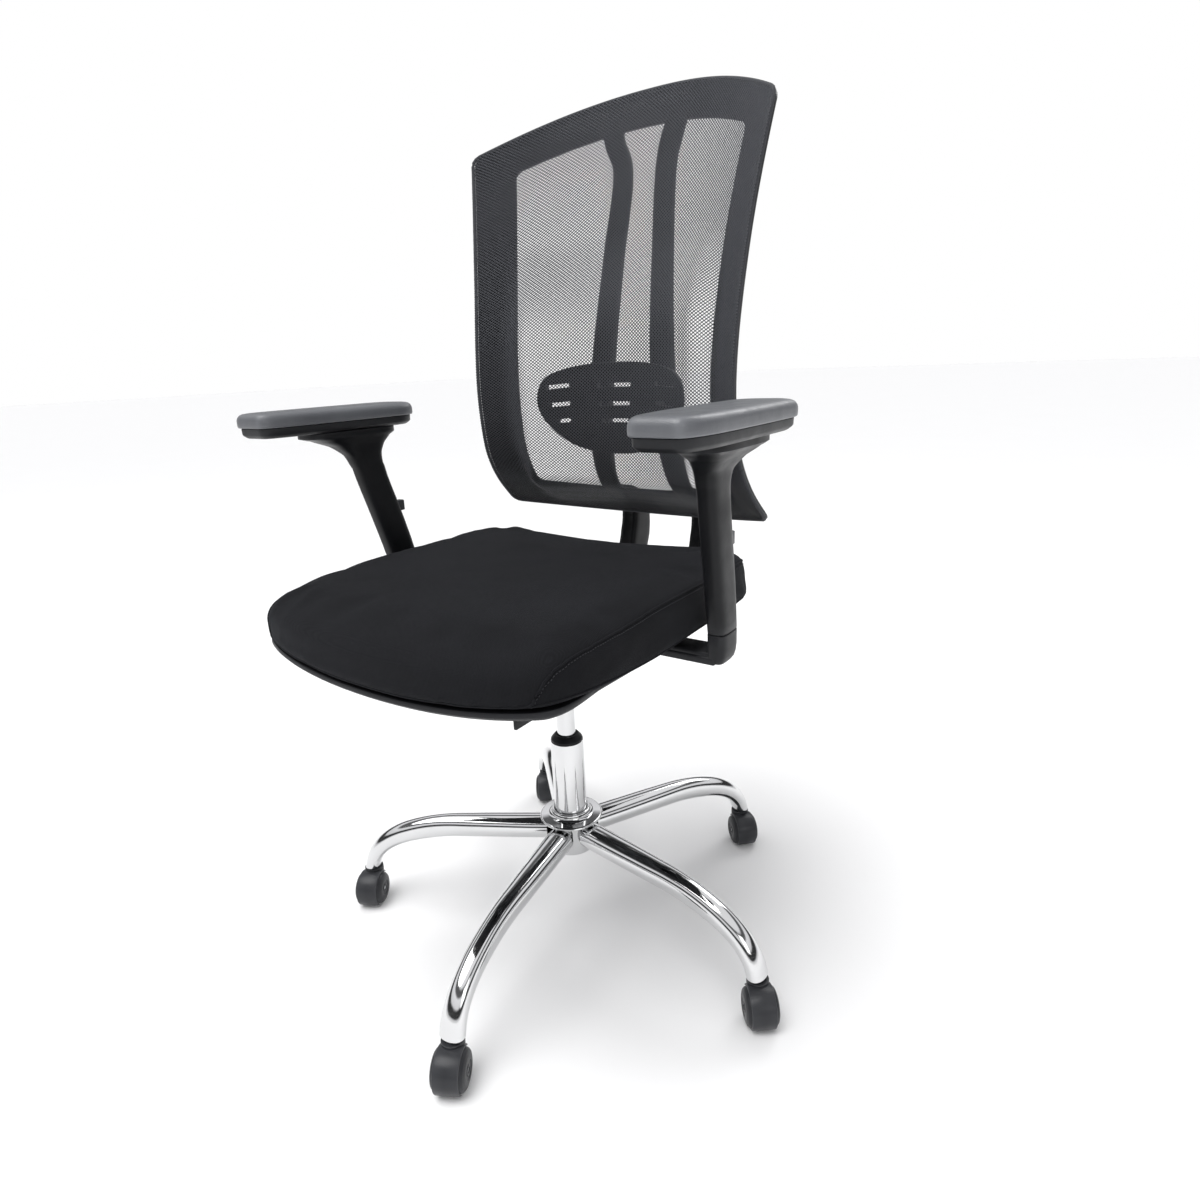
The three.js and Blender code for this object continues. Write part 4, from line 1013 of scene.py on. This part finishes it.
def boolean(piece, shape, operation):
    """Cuts the shape out of the piece, or joins it on."""
    mesh = raw_mesh("cutter", shape)
    bm = bmesh.new()
    bm.from_mesh(mesh)
    bmesh.ops.recalc_face_normals(bm, faces=bm.faces)
    bm.to_mesh(mesh)
    bm.free()
    cutter = bpy.data.objects.new("cutter", mesh)
    scene.collection.objects.link(cutter)
    modifier = piece.modifiers.new("cut", "BOOLEAN")
    modifier.operation, modifier.object, modifier.solver = operation, cutter, "EXACT"
    apply_modifiers(piece)
    bpy.data.objects.remove(cutter)


def lumbar_outline(count):
    w, low, high = LUMBAR_HALF, LUMBAR_BOTTOM, LUMBAR_TOP
    half = path2d((0, low), ((62, low), (92, low + 24)), ((w, low + 52), (w, low + 82)),
                  ((w - 2, high - 20), (w - 26, high - 13)), ((70, high), (0, high)))
    return spread(mirror_path(half), count)


def lumbar():
    """The pad as inset rings over its outline, bent to the back's curve: rounded rim, thin plate."""
    height = 775
    front = lambda x: (WAIST_DEPTH + BACK_WRAP * (back_half(height) ** 2 - x * x)
                       + NET_THICK + 3.4 - LUMBAR_PUSH)
    loop = lumbar_outline(200)
    middle = vec(0, height)
    rings = []
    for inset, depth in ((60, 0), (30, 0), (12, 0), (3, 0), (1.2, 0.4), (0.3, 1.3), (0, 3), (0, 6),
                         (0.3, 7.7), (1.2, 8.6), (3, 9), (12, 9), (30, 9), (60, 9)):
        if inset < 30:
            ring = inset_loop(loop, inset)
        else:
            ring = middle + (loop - middle) * (0.55 if inset < 60 else 0.15)
        rings.append([vec(p[0], float(front(p[0])) + depth, p[1]) for p in ring])
    return skin(rings), front


def add_lumbar():
    plate, front = lumbar()
    piece = make("lumbar_plate", plate, BLACK, "lumbar", "lumbar_pad")
    slits = []
    for side in (-1, 0, 1):
        for z, middle_half, side_half in SLIT_ROWS:
            half = side_half if side else middle_half
            verts, faces = block((-half, 60, -3.1), (half, 300, 3.1), 1.4)
            verts = [vec(v[0], v[1], v[2] - SLIT_SLOPE * side * v[0]) for v in verts]
            slits.append(moved((verts, faces), side * (SLIT_INNER_END + half), 0, z))
    boolean(piece, both(*slits), "DIFFERENCE")
    near = float(front(57)) + 5
    lugs = [block((x - 11, near, 760), (x + 11, 199, 800), 2) for x in (57, -57)]
    boolean(piece, both(*lugs), "UNION")
    smooth(piece, 35)


def add_net():
    """The stretched cloth: a thin closed sheet whose UV map is its flat size in metres."""
    columns, rows = 150, 190
    a, b = np.meshgrid(np.linspace(-1, 1, columns + 1), np.linspace(-1, 1, rows + 1))
    shrink = 1 - 0.012 * (a * b) ** 20
    x, z = back_place(a * shrink, b * shrink, 0.0)
    y = net_depth(x, z)
    front = np.stack([x, y, z], -1)
    du = np.gradient(front, axis=1)
    dv = np.gradient(front, axis=0)
    normal = np.cross(dv, du)
    normal /= np.linalg.norm(normal, axis=-1, keepdims=True)
    normal *= np.sign(normal[..., 1:2])
    rear = front + normal * 1.1
    wide = columns + 1
    count = wide * (rows + 1)
    faces = []
    for r in range(rows):
        for c in range(columns):
            i = r * wide + c
            faces.append((i, i + 1, i + wide + 1, i + wide))
            faces.append(tuple(k + count for k in (i + wide, i + wide + 1, i + 1, i)))
    rim = ([c for c in range(columns)] + [r * wide + columns for r in range(rows)]
           + [rows * wide + c for c in range(columns, 0, -1)] + [r * wide for r in range(rows, 0, -1)])
    for k, here in enumerate(rim):
        there = rim[(k + 1) % len(rim)]
        faces.append((here, here + count, there + count, there))
    verts = list(front.reshape(-1, 3)) + list(rear.reshape(-1, 3))
    steps_across = np.linalg.norm(np.diff(front, axis=1), axis=2)
    run = np.concatenate([np.zeros((rows + 1, 1)), np.cumsum(steps_across, 1)], 1)
    run -= run[:, columns // 2][:, None]
    climb = np.concatenate([[0], np.cumsum(np.linalg.norm(np.diff(front[:, columns // 2], axis=0), axis=1))])
    flat = np.stack([run, np.repeat(climb[:, None], wide, 1)], -1).reshape(-1, 2) * MM
    mesh = raw_mesh("back_net", (verts, faces))
    bm = bmesh.new()
    bm.from_mesh(mesh)
    layer = bm.loops.layers.uv.new("flat")
    for face in bm.faces:
        for corner in face.loops:
            corner[layer].uv = flat[corner.vert.index % count]
    bmesh.ops.recalc_face_normals(bm, faces=bm.faces)
    bm.to_mesh(mesh)
    bm.free()
    mesh.materials.append(BACK_FABRIC)
    net = bpy.data.objects.new("back_net", mesh)
    scene.collection.objects.link(net)
    smooth(net, 60)
    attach(net, "back")
    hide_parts("back_mesh")
    return net


def add_welt():
    """The cloth's bound edge, wrapped over the frame all round."""
    loop = unit_outline(400)
    line = back_ring(loop, 0.8, 3.0)
    make("back_binding", tube_along(line, 2.6, 12, loop=True), BINDING, "back")


STRUT_X, STRUT_HALF = 69, 16.5
RIB_ZONE, RIB_PITCH, RIB_DEPTH = 13, 8.7, 1.3
STRUT = [  # depth, height, half thickness across the strut's run
    (292, 626, 10), (311, 612, 16), (327, 583, 26), (324, 545, 30), (305, 505, 27), (262, 464, 22),
    (200, 438, 17), (130, 427, 15), (60, 424, 14), (44, 424, 12)]


def strut():
    """A J-shaped strut; three ribs run down its front face."""
    path = catmull([vec(STRUT_X, y, z) for y, z, _ in STRUT], 72)
    rings = []
    for i, centre in enumerate(path):
        tangent = tangent_at(path, i)
        deep = unit(np.cross(tangent, RIGHT))
        half = stations(STRUT, i / 72)[2]
        ring = []
        for p in oval(vec(0, 0, 0), RIGHT, vec(0, 1, 0), STRUT_HALF, half, 72, 5):
            u, v = p[0], p[1]
            if abs(u) < RIB_ZONE and v > 0:
                groove = 0.5 - 0.5 * math.cos(2 * math.pi * u / RIB_PITCH)
                v -= RIB_DEPTH * groove * smoothstep(RIB_ZONE - abs(u), 0, 2)
            ring.append(centre + RIGHT * u + deep * v)
        rings.append(ring)
    return skin(rings)


def add_back():
    spines = spine()
    make("back_shell", both(frame_border(), spines, flipped(spines)), BLACK, "back", "back_frame", angle=40)
    struts = strut()
    crossbar = block((-STRUT_X, 112, 416), (STRUT_X, 132, 438), 3)
    make("back_struts", both(struts, flipped(struts), crossbar), BLACK, "back", "back_bracket", angle=40)
    add_lumbar()
    add_net()
    add_welt()


def binding_look():
    look = Look("back_binding", (0.03, 0.032, 0.037), 0.8, Sheen_Weight=0.08, Sheen_Roughness=0.4)
    ribs = look.noise(700.0, 2.0)
    look.set("Base Color", look.mix(ribs, (0.014, 0.015, 0.018), (0.05, 0.052, 0.06)))
    look.bump(ribs, 0.0005, 0.6)
    return look.material


BINDING = binding_look()

# ---------------------------------------------------------------- light, floor and camera


def floor_look():
    look = Look("floor", (0.93, 0.93, 0.93), 0.9)
    look.set("Base Color", look.mix(look.noise(2.0, 3.0), (0.925, 0.925, 0.925), (0.94, 0.94, 0.94)))
    return look.material


def add_stage():
    """A plain pale floor, 80 m across."""
    mesh = bpy.data.meshes.new("floor")
    reach = 40.0
    corners = [(reach * x, reach * y, 0) for x, y in ((-1, -1), (1, -1), (1, 1), (-1, 1))]
    mesh.from_pydata(corners, [], [(0, 1, 2, 3)])
    mesh.materials.append(floor_look())
    floor = bpy.data.objects.new("floor", mesh)
    scene.collection.objects.link(floor)


def add_light(name, place, target, size, power):
    data = bpy.data.lights.new(name, "AREA")
    data.shape, data.size, data.energy = "SQUARE", size, power
    light = bpy.data.objects.new(name, data)
    light.location = place
    light.rotation_euler = (Vector(target) - Vector(place)).to_track_quat("-Z", "Y").to_euler()
    scene.collection.objects.link(light)


def add_sun(name, towards, spread_degrees, strength):
    data = bpy.data.lights.new(name, "SUN")
    data.energy, data.angle = strength, math.radians(spread_degrees)
    light = bpy.data.objects.new(name, data)
    light.rotation_euler = Vector(towards).to_track_quat("Z", "Y").to_euler()
    scene.collection.objects.link(light)


def add_world():
    """A white studio; reflections see darker bands between its light panels, the camera does not."""
    world = bpy.data.worlds.new("studio")
    scene.world = world
    world.use_nodes = True
    tree = world.node_tree
    nodes, link = tree.nodes, tree.links.new
    place = nodes.new("ShaderNodeTexCoord").outputs["Generated"]
    split = nodes.new("ShaderNodeSeparateXYZ")
    link(place, split.inputs[0])
    ramp = nodes.new("ShaderNodeValToRGB")
    ramp.color_ramp.elements[0].position, ramp.color_ramp.elements[0].color = 0.0, (1, 1, 1, 1)
    ramp.color_ramp.elements[1].position, ramp.color_ramp.elements[1].color = 1.0, (1, 1, 1, 1)
    for position, value in ((0.05, 0.85), (0.12, 0.05), (0.3, 0.04), (0.36, 0.85), (0.53, 1.0), (0.59, 0.14),
                            (0.7, 0.12), (0.76, 1.0)):
        ramp.color_ramp.elements.new(position).color = (value, value, value * 1.02, 1)
    link(split.outputs[2], ramp.inputs[0])
    seen = nodes.new("ShaderNodeLightPath")
    color = (0.5, 0.5, 0.51, 1)
    for ray, shown in (("Is Glossy Ray", ramp.outputs[0]), ("Is Camera Ray", (1, 1, 1, 1))):
        choice = nodes.new("ShaderNodeMix")
        choice.data_type = "RGBA"
        link(seen.outputs[ray], choice.inputs[0])
        for socket, value in ((choice.inputs[6], color), (choice.inputs[7], shown)):
            if isinstance(value, bpy.types.NodeSocket):
                link(value, socket)
            else:
                socket.default_value = value
        color = choice.outputs[2]
    link(color, nodes["Background"].inputs["Color"])


def add_camera():
    """A wide lens from the chair's front left, above seat height, as the chair was seen."""
    azimuth, elevation, roll = (math.radians(a) for a in (34.84, 17.05, -2.46))
    back = Vector((math.sin(azimuth) * math.cos(elevation), -math.cos(azimuth) * math.cos(elevation),
                   math.sin(elevation)))
    side = (-back).cross(Vector((0, 0, 1))).normalized()
    above = side.cross(-back)
    right = math.cos(roll) * side + math.sin(roll) * above
    top = -math.sin(roll) * side + math.cos(roll) * above
    data = bpy.data.cameras.new("camera")
    data.sensor_width, data.lens = 36.0, 22.83
    data.shift_x, data.shift_y = -0.00056, -0.0048
    camera = bpy.data.objects.new("camera", data)
    place = Vector(AXIS) + Vector((0.6448, -0.8200, 0.8423))
    camera.matrix_world = Matrix.Translation(place) @ Matrix((right, top, back)).transposed().to_4x4()
    scene.collection.objects.link(camera)
    scene.camera = camera


add_camera()
add_stage()
add_world()
add_sun("sky", (-0.25, -0.3, 1.0), 50, 1.9)
add_light("key", (-0.5, -1.4, 3.6), (0, 0, 0.6), 2.2, 40)
add_light("fill", (2.8, -1.6, 1.8), (0, 0, 0.6), 1.6, 14)
add_light("rim", (0.4, 2.8, 2.6), (0, 0, 0.9), 1.4, 24)
scene.view_settings.view_transform = "Standard"

add_base()
add_lift()
add_mechanism()
add_seat()
add_arms()
add_back()

for node_name in ("lift_thrust_bearing", "lift_piston_rod", "lift_release_pin", "tilt_spring",
                  "seat_pivot_pin", "back_pivot_pin",
                  *(f"caster_{i}_{part}" for i in range(1, 6) for part in ("stem", "axle"))):
    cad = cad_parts[node_name]
    cad.data.materials.clear()
    cad.data.materials.append(STEEL)
